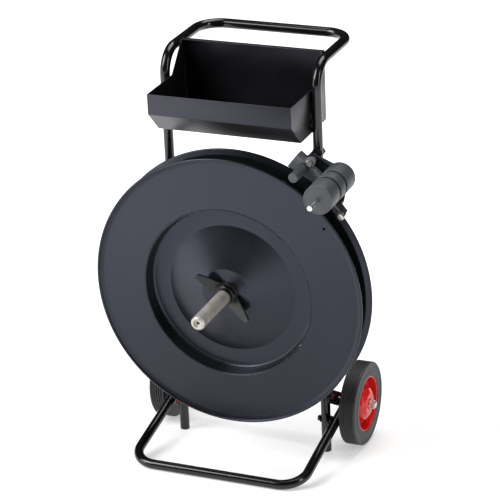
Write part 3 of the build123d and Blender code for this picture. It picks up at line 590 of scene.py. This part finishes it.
def thread_tree():
    """Fine screw thread round the Y axis, rearward from its front end."""
    group, given, out = shape_tree(
        "screw_thread",
        {
            "Radius": (FLOAT, 16.0), "Length": (FLOAT, 150.0), "Front": (FLOAT, -150.0),
            "Pitch": (FLOAT, 2.0), "Depth": (FLOAT, 0.25),
            "Around": (WHOLE, 65), "Along": (WHOLE, 451),
        },
    )
    grid = first(
        group, "GeometryNodeMeshGrid",
        {"Size X": 1.0, "Size Y": 1.0, "Vertices X": given["Along"], "Vertices Y": given["Around"]},
    )
    position = first(group, "GeometryNodeInputPosition")
    place = node(group, "ShaderNodeSeparateXYZ", {"Vector": position}).outputs
    share = math_node(group, "ADD", place["X"], 0.5)
    around = math_node(group, "ADD", place["Y"], 0.5)
    angle = math_node(group, "MULTIPLY", around, -2 * math.pi)
    along = math_node(group, "MULTIPLY_ADD", share, given["Length"], given["Front"])
    turns = math_node(group, "ADD", math_node(group, "DIVIDE", along, given["Pitch"]), around)
    flank = math_node(group, "PINGPONG", turns, 0.5)
    double = math_node(group, "MULTIPLY", given["Depth"], 2.0)
    cut = math_node(group, "MULTIPLY", flank, double)
    radius = math_node(group, "SUBTRACT", given["Radius"], cut)
    x = math_node(group, "MULTIPLY", radius, math_node(group, "COSINE", angle))
    z = math_node(group, "MULTIPLY", radius, math_node(group, "SINE", angle))
    spot = first(group, "ShaderNodeCombineXYZ", {"X": x, "Y": along, "Z": z})
    wound = first(group, "GeometryNodeSetPosition", {"Geometry": grid, "Position": spot})
    feed = {"Geometry": wound, "Distance": 0.001}
    return close_tree(group, given, out, first(group, "GeometryNodeMergeByDistance", feed))


bent_tube = tube_tree()
hexagons = hexagon_tree()
weld_bead = weld_tree()
screw_thread = thread_tree()


def grown(tree, mesh, finish, **sizes):
    """Runs a tree on a mesh in the machine's frame, and gives its result as a bmesh."""
    obj = bpy.data.objects.new("grown", mesh)
    bpy.context.scene.collection.objects.link(obj)
    run = obj.modifiers.new("run", "NODES")
    run.node_group = tree
    for item in tree.interface.items_tree:
        if item.in_out != "INPUT":
            continue
        key = item.name.replace(" ", "_")
        if item.name == "Material":
            run[item.identifier] = finishes[finish]
        elif key in sizes:
            run[item.identifier] = sizes[key]
    bake(obj)
    bm = bmesh.new()
    bm.from_mesh(obj.data)
    bpy.data.objects.remove(obj)
    return bm


def path_mesh(points, closed=False):
    """Points joined in order by edges."""
    mesh = bpy.data.meshes.new("path")
    count = len(points)
    edges = [(i, i + 1) for i in range(count - 1)] + ([(count - 1, 0)] if closed else [])
    mesh.from_pydata([tuple(p) for p in points], edges, [])
    return mesh


def tube(points, finish, radius, bend=0.0, sides=48):
    """Round tube along points, with its corners bent to a radius."""
    return grown(
        bent_tube, path_mesh(points), finish, Radius=radius, Bend=bend, Bend_Steps=24, Sides=sides
    )


def hexes(places, finish, corner, thickness):
    """Hexagons centred at places, given as (point, facing)."""
    mesh = bpy.data.meshes.new("spots")
    mesh.from_pydata([tuple(p) for p, _ in places], [], [])
    facing = mesh.attributes.new("facing", "FLOAT_VECTOR", "POINT")
    for value, (_, way) in zip(facing.data, places):
        value.vector = way
    return grown(hexagons, mesh, finish, Corner_Radius=corner, Thickness=thickness)


def bead(points, finish, radius=2.2, ripple=1.5, closed=False, seed=3):
    """Weld bead along points."""
    return grown(
        weld_bead, path_mesh(points, closed), finish, Radius=radius, Ripple=ripple, Seed=seed
    )


def ring_path(at, radius, height, along="Y", count=64):
    """Closed circle of points about an axis along Y or X."""
    spots = circle(at, radius, count)
    if along == "Y":
        return [(p.x, height, p.y) for p in spots]
    return [(height, p.x, p.y) for p in spots]


def ring(at, outer, low, high, bore=0.0, edge=0.6, along="Y", steps=64):
    """Turned ring or rod between two heights, with rounded edges."""
    soft = min(edge, 0.4 * (high - low), 0.4 * (outer - bore))
    inner = soft if bore else 0
    outline = rounded(
        [(bore, low), (outer, low), (outer, high), (bore, high)], [inner, soft, soft, inner]
    )
    return turned([outline], at, along, steps)


def ring_of(span, bore=0.0, edge=0.6, along="Y", steps=64):
    """Turned ring with the extent of a CAD node."""
    if along == "Y":
        at = (span.mid.x, span.mid.z)
        return ring(at, span.size.x / 2, span.low.y, span.high.y, bore, edge, along, steps)
    at = (span.mid.y, span.mid.z)
    return ring(at, span.size.z / 2, span.low.x, span.high.x, bore, edge, along, steps)


def cross_ring(at, outer, sign, near, far, **shape):
    """Ring along X on one side of the machine, between two distances from its middle."""
    return ring(at, outer, *sorted((sign * near, sign * far)), along="X", **shape)


def hexagon(at, y, way, corner, thickness):
    """Zinc hexagon along Y at (x, z), facing the front (-1) or the rear (1)."""
    return hexes([((at[0], y, at[1]), (0, way, 0))], "zinc", corner, thickness)


def copied(name, source, body, finish, bevel, segments=2):
    """Adds a piece that is a CAD node with softened edges."""
    piece(name, cad_copy(source), body, finish, [source], bevel=bevel, segments=segments)


def modified(bm, *recipes):
    """Applies modifiers, given as (type, settings), to a bmesh in the machine's frame."""
    mesh = bpy.data.meshes.new("worked")
    bm.to_mesh(mesh)
    bm.free()
    obj = bpy.data.objects.new("worked", mesh)
    bpy.context.scene.collection.objects.link(obj)
    for kind, settings in recipes:
        made = obj.modifiers.new(kind.lower(), kind)
        for key, value in settings.items():
            setattr(made, key, value)
    bake(obj)
    result = bmesh.new()
    result.from_mesh(obj.data)
    bpy.data.objects.remove(obj)
    return result


def drilled(bm, *cutters):
    """Cuts other shapes out of a shape."""
    knife = bpy.data.meshes.new("knife")
    whole = merged(list(cutters))
    whole.to_mesh(knife)
    whole.free()
    tool = bpy.data.objects.new("knife", knife)
    bpy.context.scene.collection.objects.link(tool)
    result = modified(
        bm, ("BOOLEAN", {"operation": "DIFFERENCE", "solver": "EXACT", "object": tool})
    )
    bpy.data.objects.remove(tool)
    return result


# ---- carried-over CAD nodes ----
for row in frame["record"]["subparts"]:
    slots = frame["nodes"][row["node"]].data.materials
    slots.clear()
    slots.append(finishes[row["material_slot"]])

# ---- frame tubes ----
tube_r = 11.0
bend_r = 55.0
tail = 20.0                 # length of the foot's arms past the axle
upright = Span("upright_frame")
foot = Span("foot_tube")
upright_x = upright.high.x - tube_r
upright_y = Span("bearing_housing").mid.y
handle_y = upright.high.y - tube_r
handle_z = upright.high.z - tube_r
axle_at = (Span("axle").mid.y, Span("axle").mid.z)
foot_x = foot.high.x - tube_r
foot_y = foot.low.y + tube_r
foot_z = foot.low.z + tube_r
rise = (axle_at[1] - foot_z) / (axle_at[0] - foot_y)
right_halves = {
    "upright_frame": [
        (upright_x, upright_y, upright.low.z),
        (upright_x, upright_y, handle_z),
        (upright_x, handle_y, handle_z),
    ],
    "foot_tube": [
        (foot_x, axle_at[0] + tail, axle_at[1] + tail * rise),
        (foot_x, foot_y, foot_z),
    ],
}
for name, source in (("upright_and_push_bar", "upright_frame"), ("foot_loop", "foot_tube")):
    half = right_halves[source]
    path = [(-x, y, z) for x, y, z in half] + half[::-1]
    piece(name, tube(path, "black_tube", tube_r, bend_r), "frame", "black_tube", [source])
for name in ("foot_caps", "upright_caps"):
    copied(name + "_moulded", name, "frame", "cap_plastic", 1.2, segments=3)

# ---- tool tray ----
copied("tray_folded", "tray_shell", "frame", "black_tray", 0.5)
for name in ("tray_cheek_left", "tray_cheek_right"):
    copied(name + "_plate", name, "frame", "black_tray", 0.5)

cheek_inner = 161.3         # inner face of a cheek, from the machine's middle
cheek_t = 3.0
screw_r = 2.5
screw_end = 170.5
head_r = 5.0
dome = [
    (1.6, 2.0), (1.6, 3.0), (2.9, 2.9), (4.2, 2.2), (4.9, 1.1), (head_r, 0.0), (0.0, 0.0),
    (0.0, 2.0),
]
screws = Span("tray_screws")
parts = []
for sign in (-1, 1):
    for z in (screws.low.z + head_r, screws.high.z - head_r):
        at = (upright_y, z)
        profile = [(r, sign * (cheek_inner + cheek_t - h)) for r, h in dome]
        parts.append(turned([profile], at, "X", 32))
        parts.append(cross_ring(at, screw_r, sign, cheek_inner + 2.9, screw_end, steps=20))
piece("tray_screw_heads", merged(parts), "frame", "zinc", ["tray_screws"])

# ---- spindle support ----
spindle_bore = 16.06        # bore of what turns or slides on the spindle
copied("cross_beam_pressed", "cross_beam", "frame", "black_sheet", 0.8)
housing = Span("bearing_housing")
housing_r = housing.size.x / 2
housing_tube = ring((0, 0), housing_r, housing.low.y, housing.high.y, 18.0, 1.2, steps=96)
piece("housing_turned", housing_tube, "frame", "black_sheet", ["bearing_housing"])
beam = Span("cross_beam")
beads = [
    bead(ring_path((0, 0), housing_r + 0.6, y), "black_sheet", closed=True, seed=i)
    for i, y in enumerate((beam.low.y - 0.6, beam.low.y + 4.6))
]
seam_x = upright_x - tube_r + 0.4
seam_y = beam.low.y - 0.4
for sign in (-1, 1):
    for z in (beam.low.z + 8, 0, beam.high.z - 8):
        half = 14.0 if z else 18.0
        seam = [(sign * seam_x, seam_y, z - half + 8), (sign * seam_x, seam_y, z + half - 8)]
        beads.append(bead(seam, "black_sheet", radius=2.0, seed=7 + int(z)))
piece("beam_welds", merged(beads), "frame", "black_sheet", [])
bush = Span("spindle_bushes")
bush_long = 15.98
parts = [
    ring((0, 0), bush.size.x / 2, low, low + bush_long, spindle_bore, 0.5, steps=96)
    for low in (bush.low.y, bush.high.y - bush_long)
]
piece("spindle_bushes_turned", merged(parts), "frame", "bronze", ["spindle_bushes"])

# ---- axle, stays and foot bolts ----
axle_bore = 8.02            # bore of what sits on the axle
chamfer = 1.5
dimple = 2.0
axle = Span("axle")
axle_r = axle.size.z / 2
profile = [
    (0, axle.low.x + dimple), (dimple, axle.low.x),
    (axle_r - chamfer, axle.low.x), (axle_r, axle.low.x + chamfer),
    (axle_r, axle.high.x - chamfer), (axle_r - chamfer, axle.high.x),
    (dimple, axle.high.x), (0, axle.high.x - dimple),
]
piece("axle_rod", turned([profile], axle_at, "X", 64), "frame", "zinc", ["axle"])
for name in ("axle_stay_left", "axle_stay_right"):
    copied(name + "_plate", name, "frame", "black_sheet", 0.6)

washer_r = 9.0
washer_t = 1.6
bolt_r = 4.0
head_t = 5.5
face_gap = 0.1              # between a washer and the tube that it bears on
inner_x = upright_x - tube_r - face_gap
for name in ("foot_bolts", "stay_bolts"):
    span = Span(name)
    z = span.mid.z
    at = (upright_y, z)
    nutted = name == "stay_bolts"
    far = span.high.x if nutted else foot_x + 6.0
    second = (upright_x + tube_r + face_gap, foot_x - tube_r - face_gap)
    if nutted:
        second = (far - 7.6, far - 6.0)
    parts = []
    for sign in (-1, 1):
        parts += [
            cross_ring(at, washer_r, sign, inner_x - washer_t, inner_x, edge=0.4, steps=40),
            cross_ring(at, bolt_r, sign, inner_x - 1.0, far, edge=0.7, steps=32),
            cross_ring(at, washer_r, sign, *second, edge=0.4, steps=40),
        ]
    head_x = inner_x - washer_t - head_t / 2
    heads = [((sign * head_x, upright_y, z), (-sign, 0, 0)) for sign in (-1, 1)]
    parts.append(hexes(heads, "black_sheet", 7.2, head_t))
    if nutted:
        nut_x = far - 3.0 - 0.4
        nuts = [((sign * nut_x, upright_y, z), (sign, 0, 0)) for sign in (-1, 1)]
        parts.append(hexes(nuts, "black_sheet", 6.4, 5.2))
    piece(name + "_set", merged(parts), "frame", "black_sheet", [name], bend=25)

spacers = Span("axle_spacers")
spacer_x = foot_x + tube_r + face_gap
parts = [
    cross_ring(axle_at, spacers.size.z / 2, sign, spacer_x, spacers.high.x, bore=axle_bore,
               edge=0.2, steps=48)
    for sign in (-1, 1)
]
piece("axle_spacer_pair", merged(parts), "frame", "black_sheet", ["axle_spacers"])
nut_x = Span("axle_nuts").high.x
nut_t = 8.0
nuts = [((sign * (nut_x - nut_t / 2), *axle_at), (sign, 0, 0)) for sign in (-1, 1)]
parts = [hexes(nuts, "zinc", 11.4, nut_t)]
for sign in (-1, 1):
    parts.append(
        cross_ring(axle_at, 11.5, sign, nut_x - 10.0, nut_x - nut_t, bore=axle_bore, edge=0.4,
                   steps=48)
    )
piece("axle_nut_pair", merged(parts), "frame", "zinc", ["axle_nuts"], bend=25)

# ---- brake arm pivot ----
pivot = Span("pivot_nut")
pivot_at = (pivot.mid.x, pivot.mid.z)
bolt = Span("pivot_bolt")
head_t = 7.0
parts = [
    hexagon(pivot_at, bolt.low.y + head_t / 2, -1, 7.6, head_t),
    ring(pivot_at, 7.0, bolt.low.y + head_t, bolt.low.y + 8.5, edge=0.3, steps=40),
    ring(pivot_at, 6.0, bolt.low.y + 8.4, bolt.high.y, edge=0.9, steps=40),
]
piece("pivot_bolt_turned", merged(parts), "frame", "zinc", ["pivot_bolt"], bend=25)
nut = hexagon(pivot_at, pivot.mid.y - 0.3, 1, 10.4, 9.2)
piece("pivot_nut_hexagon", nut, "frame", "zinc", ["pivot_nut"], bend=25)
copied("pivot_cup", "pivot_boss", "frame", "black_sheet", 0.5)

weld_r = 14.4
saddle = []                 # where the cup meets the upright's round front
for k in range(25):
    angle = 2 * math.pi * k / 24
    x = weld_r * math.cos(angle)
    if abs(x) < tube_r:
        y = upright_y - math.sqrt(tube_r ** 2 - x * x) - 0.2
    else:
        y = upright_y - 1.0
    saddle.append((pivot_at[0] + x, y - 0.4, pivot_at[1] + weld_r * math.sin(angle)))
beads = []
for i, part in enumerate((saddle[:13], saddle[12:])):
    on_tube = [p for p in part if abs(p[0] - pivot_at[0]) < tube_r - 0.5]
    beads.append(bead(on_tube, "black_sheet", radius=1.5, ripple=1.1, seed=31 + i))
piece("pivot_weld", merged(beads), "frame", "black_sheet", [])

wire = 1.0
coil_r = 8.6
coil_front = 97.0
coil_turns = 5
cup_floor = upright_y - tube_r - 1.0
coil_rise = (cup_floor - wire - 0.6 - coil_front) / (coil_turns * 2 * math.pi)
arm_way = math.radians(-38.3)
leg_tip = (
    pivot_at[0] - 11.5 + 32.0 * math.cos(arm_way) - 19.3 * math.sin(arm_way),
    pivot_at[1] - 22.2 + 32.0 * math.sin(arm_way) + 19.3 * math.cos(arm_way),
)
tip_off = (leg_tip[0] - pivot_at[0], leg_tip[1] - pivot_at[1])
tip_far = math.hypot(*tip_off)
coil_start = math.atan2(tip_off[1], tip_off[0]) + math.acos(coil_r / tip_far)
coil = []
for k in range(coil_turns * 24 + 1):
    angle = 2 * math.pi * k / 24
    coil.append((
        pivot_at[0] + coil_r * math.cos(coil_start + angle),
        coil_front + coil_rise * angle,
        pivot_at[1] + coil_r * math.sin(coil_start + angle),
    ))
tangent = (-math.sin(coil_start), coil_rise / coil_r, math.cos(coil_start))
leg = Vector(coil[0]) - Vector(tangent).normalized() * math.sqrt(tip_far ** 2 - coil_r ** 2)
wound = tube([leg, *coil], "spring_steel", wire, sides=12)
piece("spring_wound", wound, "frame", "spring_steel", ["torsion_spring"])

# ---- flanges and core dishes ----
sheet = 2.0
core_r = 198.0
bead_r = 3.0                # rolled edge of a flange
anchor_r = 292.0            # circle that the strap's anchoring hole is on
cone_outer = 149.0
cone_inner = 57.0
rim = Span("front_flange_ring")
flange_r = rim.size.x / 2
pair = (rim.low.y + Span("rear_flange_ring").high.y) / 2


def depth(y, rear):
    """Depth on the front half of the reel, or its mirror on the rear half."""
    return 2 * pair - y if rear else y


for side, rear, hole_turn in (("front", False, 37.9), ("rear", True, -9.7)):
    body = "reel" if rear else "front_flange"
    line = rounded(
        [
            (core_r + 0.4, depth(2.5, rear)), (flange_r - 13.0, depth(9.0, rear)),
            (flange_r - bead_r, depth(5.0, rear)),
        ],
        4, closed=False, steps=6,
    )
    plate = turned([sheet_loop(line, sheet)], steps=288)
    hole = math.radians(hole_turn)
    hole_at = (anchor_r * math.cos(hole), anchor_r * math.sin(hole))
    hole_y = depth(35, rear)
    plate = drilled(plate, ring(hole_at, 3.2, hole_y - 40, hole_y + 40, steps=32))
    lip = turned([circle((flange_r - bead_r, depth(3.0, rear)), bead_r, 20)], steps=288)
    piece(side + "_flange_pressed", merged([plate, lip]), body, "black_sheet",
          [side + "_flange_ring"], bend=32)

    floor_y = depth(pair - 0.2 - sheet / 2, rear)
    crown_y = depth(sheet / 2, rear)
    line = rounded(
        [
            (core_r - sheet / 2, depth(1.2, rear)), (core_r - 6.0, floor_y),
            (cone_outer, floor_y), (cone_inner, crown_y), (22.1, crown_y),
        ],
        [0, 7, 7, 7, 0], closed=False, steps=8,
    )
    piece(side + "_dish_pressed", turned([sheet_loop(line, sheet)], steps=256), body,
          "black_sheet", [side + "_core_wall", side + "_core_cone"], bend=32)

# ---- spindle, hub and nuts ----
shaft = Span("spindle")
front = shaft.low.y
shaft_r = shaft.size.x / 2
core = shaft_r - 0.4        # plain shaft under the thread
tip = [
    (0, front + 13.0), (4.0, front + 11.5), (4.0, front + 4.6), (4.6, front + 4.0),
    (8.4, front + 4.0), (9.0, front + 4.6 - 1.2), (9.0, front + 0.7), (9.6, front),
    (shaft_r - 3.9, front), (shaft_r - 3.2, front + 0.25), (core, front + 3.1),
    (shaft_r - 0.1, front + 4.0), (shaft_r - 0.15, front + 14.0), (0, front + 14.0),
]
stub = rounded(
    [(0, front + 13.5), (core, front + 13.5), (core, shaft.high.y), (0, shaft.high.y)],
    [0, 0, 3.5, 0],
)
thread = grown(
    screw_thread, path_mesh([(0, 0, 0)]), "spindle_steel", Radius=shaft_r, Front=front + 12.0,
    Length=shaft.size.y - 17.0, Pitch=2.0, Depth=0.22, Around=65, Along=977,
)
parts = [turned([tip], steps=96), turned([stub], steps=96), thread]
piece("spindle_threaded", merged(parts), "reel", "spindle_steel", ["spindle"], bend=40)
copied("hub_flanged", "reel_hub", "reel", "black_sheet", 0.8)

bolts = Span("hub_bolts")
bolt_circle = 34.0
spots = []
for k in range(4):
    angle = math.pi / 4 + k * math.pi / 2
    spots.append((bolt_circle * math.cos(angle), bolt_circle * math.sin(angle)))
heads = [((x, bolts.low.y + 2.0, z), (0, -1, 0)) for x, z in spots]
nuts = [((x, bolts.high.y - 2.6, z), (0, 1, 0)) for x, z in spots]
parts = [hexes(heads, "zinc", 5.6, 4.0), hexes(nuts, "zinc", 5.6, 4.8)]
for spot in spots:
    parts.append(ring(spot, 3.0, bolts.low.y + 1.0, bolts.high.y, edge=0.5, steps=24))
piece("hub_bolt_set", merged(parts), "reel", "zinc", ["hub_bolts"], bend=25)

washers = Span("thrust_washers")
thrust_r = 26.0
thrust_t = 3.0
parts = [
    ring((0, 0), thrust_r, low, high, spindle_bore, 0.5, steps=72)
    for low, high in (
        (washers.low.y, washers.low.y + thrust_t), (washers.high.y - thrust_t, washers.high.y)
    )
]
piece("thrust_washer_pair", merged(parts), "reel", "zinc", ["thrust_washers"])
lock = Span("spindle_lock_nut")
nut = hexagon((0, 0), lock.mid.y, 1, 24.0, lock.size.y)
piece("lock_nut_hexagon", nut, "reel", "zinc", ["spindle_lock_nut"], bend=25)

collar = [
    (spindle_bore, 0.4), (16.5, 0.0), (21.4, 0.0), (21.9, 0.5), (21.9, 2.2), (28.6, 2.2),
    (29.0, 2.6), (29.0, 5.7), (28.6, 6.1), (21.9, 6.1), (21.9, 27.5), (21.4, 28.0),
    (16.5, 28.0), (spindle_bore, 27.6),
]
piece("guide_bush_turned", turned([collar], steps=96), "front_flange", "black_casting",
      ["flange_guide_bush"])
clamp = ring_of(Span("nut_washer"), spindle_bore, 0.7, steps=96)
piece("clamp_washer_turned", clamp, "clamp_washer", "black_casting", ["nut_washer"])
casting = modified(
    cad_copy("wing_nut"),
    ("REMESH", {"mode": "VOXEL", "voxel_size": 0.8}),
    ("SMOOTH", {"factor": 0.5, "iterations": 7}),
)
piece("wing_nut_cast", casting, "clamp_nut", "black_casting", ["wing_nut"], bend=60)

# ---- brake arm ----
shaft_bore = 4.02           # bore of what sits on the roller shaft or the guide pin
copied("bracket_folded", "brake_bracket", "brake_arm", "grey_arm", 0.7)
copied("lever_plate", "brake_lever", "brake_arm", "black_sheet", 0.6)
pin = ring_of(Span("guide_pin"), edge=0.7, steps=32)
piece("guide_pin_rod", pin, "brake_arm", "zinc", ["guide_pin"])
collar = ring_of(Span("guide_collar"), shaft_bore, 0.5)
piece("guide_collar_ring", collar, "brake_arm", "cap_plastic", ["guide_collar"])

rollers = {name: Span(name) for name in ("roller_front", "roller_middle", "roller_rear")}
front_roll, middle_roll, rear_roll = rollers.values()
roller_at = (front_roll.mid.x, front_roll.mid.z)
rod = Span("roller_shaft")
parts = [
    ring(roller_at, 4.0, rod.low.y + 7.5, rod.high.y, edge=0.7, steps=32),
    hexagon(roller_at, rod.low.y + 4.0, -1, 6.5, 8.0),
]
piece("roller_shaft_bolt", merged(parts), "brake_arm", "zinc", ["roller_shaft"], bend=25)
spacer_r = 29.5
sleeve_r = 9.0
side_gap = 0.3
lever_front = Span("brake_lever").high.y - 5.3
parts = [
    ring(roller_at, outer, low, high, shaft_bore, edge, steps=steps)
    for outer, low, high, edge, steps in (
        (spacer_r, front_roll.high.y + side_gap, middle_roll.low.y - side_gap, 0.5, 96),
        (spacer_r, middle_roll.high.y + side_gap, rear_roll.low.y - side_gap, 0.5, 96),
        (sleeve_r, rear_roll.high.y + side_gap, lever_front, 0.3, 48),
    )
]
piece("roller_spacer_set", merged(parts), "brake_arm", "cap_plastic", ["roller_spacers"])
guide = Span("guide_roller")
nuts = [
    ((guide.mid.x, 78.1, guide.mid.z), (0, 1, 0)),
    ((roller_at[0], 96.1, roller_at[1]), (0, 1, 0)),
]
piece("shaft_nut_pair", hexes(nuts, "zinc", 7.5, 6.0), "brake_arm", "zinc", ["shaft_nuts"],
      bend=25)
copied("shoe_formed", "brake_shoe", "brake_arm", "zinc", 0.5)
copied("lining_blocks", "brake_lining", "brake_arm", "lining", 0.4)
stud = Span("shoe_bolt")
stud_at = (stud.mid.x, stud.mid.z)
head_t = 5.5
parts = [
    hexagon(stud_at, stud.low.y + head_t / 2, -1, 7.5, head_t),
    ring(stud_at, 4.0, stud.low.y + 4.0, stud.high.y, edge=0.6, steps=28),
]
piece("shoe_bolt_set", merged(parts), "brake_arm", "zinc", ["shoe_bolt"], bend=25)
piece("guide_roller_turned", ring_of(guide, edge=0.9), "guide_roller", "roller_satin",
      ["guide_roller"])
for name, span in rollers.items():
    low = span.low.y
    high = span.high.y
    r = span.size.x / 2
    bore = 4.06
    outline = rounded(
        [
            (bore, low), (r - 5.0, low), (r - 4.6, low + 0.5), (r - 3.4, low + 0.5),
            (r - 3.0, low), (r, low), (r, high), (bore, high),
        ],
        [0.3, 0.15, 0.15, 0.15, 0.15, 1.0, 1.0, 0.3], steps=4,
    )
    piece(name + "_turned", turned([outline], roller_at, steps=128), "strap_" + name,
          "roller_satin", [name])

# ---- wheels ----
rib_pitch = 5.6
groove = 2.4
barrel_in = 60.98
barrel_out = 63.98
disc_r = 59.38
disc_t = 3.0
for side, sign in (("left", -1), ("right", 1)):
    tyre = Span("tyre_" + side)
    mid = tyre.mid.x
    r = tyre.size.z / 2
    half = tyre.size.x / 2
    body = "wheel_" + side
    shoulder = [
        (64.05, -half + 0.8), (70.0, -half), (74.0, -half), (75.0, -half + 0.7),
        (89.0, -half + 0.7), (90.0, -half), (r, -half),
    ]
    shoulder_soft = [0.5, 1.0, 1.0, 1.0, 1.0, 1.0, 3.4]
    tread = []
    for k in range(5):
        centre = (k - 2) * rib_pitch
        tread += [
            (r, centre - 1.5), (r - groove, centre - 1.1), (r - groove, centre + 1.1),
            (r, centre + 1.5),
        ]
    mirrored = [(p, -h) for p, h in shoulder[::-1]]
    soft = shoulder_soft + [0.5] * len(tread) + shoulder_soft[::-1]
    outline = rounded(shoulder + tread + mirrored, soft, steps=3)
    shape = turned([[(p.x, mid + p.y) for p in outline]], axle_at, "X", 144)
    piece("tyre_ribbed_" + side, shape, body, "rubber", ["tyre_" + side], bend=40)

    barrel = Span("wheel_barrel_" + side)
    wall = rounded(
        [
            (barrel_in, barrel.low.x), (barrel_out, barrel.low.x),
            (barrel_out, barrel.high.x), (barrel_in, barrel.high.x),
        ],
        1.2, steps=4,
    )
    piece("barrel_rolled_" + side, turned([wall], axle_at, "X", 160), body, "red_rim",
          ["wheel_barrel_" + side])
    flat = mid + sign * half - sign * 18.0
    boss = flat + sign * 20.5
    bell = rounded(
        [
            (disc_r, flat - sign * 8.0), (disc_r, flat), (45.0, flat),
            (41.0, flat + sign * 2.5), (36.0, flat + sign * 14.0), (25.0, boss), (13.0, boss),
        ],
        [0, 3.5, 4, 4, 5, 5, 0], closed=False, steps=7,
    )
    piece("bell_pressed_" + side, turned([sheet_loop(bell, disc_t)], axle_at, "X", 144), body,
          "red_rim", ["wheel_disc_" + side], bend=32)
    hub = Span("wheel_hub_" + side)
    sleeve = ring(axle_at, 13.0, hub.low.x, hub.high.x, 11.02, 0.5, "X", 80)
    seam = ring_path(axle_at, 13.2, flat + sign * 21.9, "X", 48)
    weld = bead(seam, "red_rim", radius=1.0, ripple=1.0, closed=True, seed=5)
    piece("hub_sleeve_" + side, merged([sleeve, weld]), body, "red_rim",
          ["wheel_hub_" + side])
    bush = ring_of(Span("wheel_bush_" + side), 8.06, 0.3, "X")
    piece("bush_sleeve_" + side, bush, body, "bronze", ["wheel_bush_" + side])

# ---- stage ----
def aimed(name, data, place, target):
    """Adds a lamp or a camera that looks at a target."""
    obj = bpy.data.objects.new(name, data)
    bpy.context.scene.collection.objects.link(obj)
    way = Vector(target) - Vector(place)
    turn = way.to_track_quat("-Z", "Y").to_matrix().to_4x4()
    obj.matrix_world = Matrix.Translation(place) @ turn
    return obj


lens = bpy.data.cameras.new("camera")
lens.lens = 164.39
lens.sensor_width = 36
lens.clip_end = 100
eye = Vector(spin["pos_m"]) + Vector((1.84776, -4.36510, 1.67031))
sight = Vector((-0.3605, 0.8782, -0.3143)).normalized()
camera = aimed("camera", lens, eye, eye + sight)
camera.matrix_world = camera.matrix_world @ Matrix.Rotation(math.radians(-0.227), 4, "Z")
bpy.context.scene.camera = camera

ground = bpy.data.meshes.new("floor")
floor_r = 16
turns = [2 * math.pi * k / 64 for k in range(64)]
ground.from_pydata(
    [(math.cos(a) * floor_r, math.sin(a) * floor_r, 0) for a in turns], [], [list(range(64))]
)
floor = bpy.data.objects.new("floor", ground)
bpy.context.scene.collection.objects.link(floor)
pale = bpy.data.materials.new("pale_floor")
pale.use_nodes = True
ground.materials.append(pale)
tree = pale.node_tree
matt = tree.nodes["Principled BSDF"]
matt.inputs["Base Color"].default_value = (0.8, 0.8, 0.8, 1)
matt.inputs["Roughness"].default_value = 1.0
matt.inputs["Specular IOR Level"].default_value = 0.0
seen = node(tree, "ShaderNodeLightPath")
mirrored = math_node(
    tree, "MAXIMUM", seen.outputs["Is Glossy Ray"], seen.outputs["Is Transmission Ray"]
)
shown = math_node(tree, "MAXIMUM", seen.outputs["Is Camera Ray"], mirrored)
matt.inputs["Emission Color"].default_value = (1, 1, 1, 1)
away = node(tree, "ShaderNodeVectorMath", {0: object_place(tree)}, operation="LENGTH")
paler = spread(tree, away.outputs["Value"], 0.42, 1.0, (0.7, 1.5))
tree.links.new(math_node(tree, "MULTIPLY", shown, paler), matt.inputs["Emission Strength"])

world = bpy.data.worlds.new("studio")
bpy.context.scene.world = world
world.use_nodes = True
sky = world.node_tree.nodes["Background"]
sky.inputs["Color"].default_value = (1, 1, 1, 1)
rays = node(world.node_tree, "ShaderNodeLightPath")
level = math_node(world.node_tree, "MULTIPLY_ADD", rays.outputs["Is Glossy Ray"], -0.14, 0.15)
strength = math_node(world.node_tree, "MAXIMUM", rays.outputs["Is Camera Ray"], level)
world.node_tree.links.new(strength, sky.inputs["Strength"])


def softbox(name, place, target, size, watts, height=None):
    """Adds an area lamp, with its size in metres."""
    light = bpy.data.lights.new(name, "AREA")
    light.shape = "RECTANGLE"
    light.size = size
    light.size_y = height or size
    light.energy = watts
    return aimed(name, light, place, target)


middle = (0, 0, 0.5)
softbox("key", (-2.6, -2.4, 3.2), middle, 2.4, 175)
softbox("side", (-3.3, -2.1, 1.2), middle, 1.7, 34)
softbox("fill", (3.2, -0.9, 1.8), middle, 0.5, 28, 2.4)
softbox("top", (0.2, 0.8, 4.0), middle, 2.4, 90)

bpy.context.scene.view_settings.view_transform = "Standard"
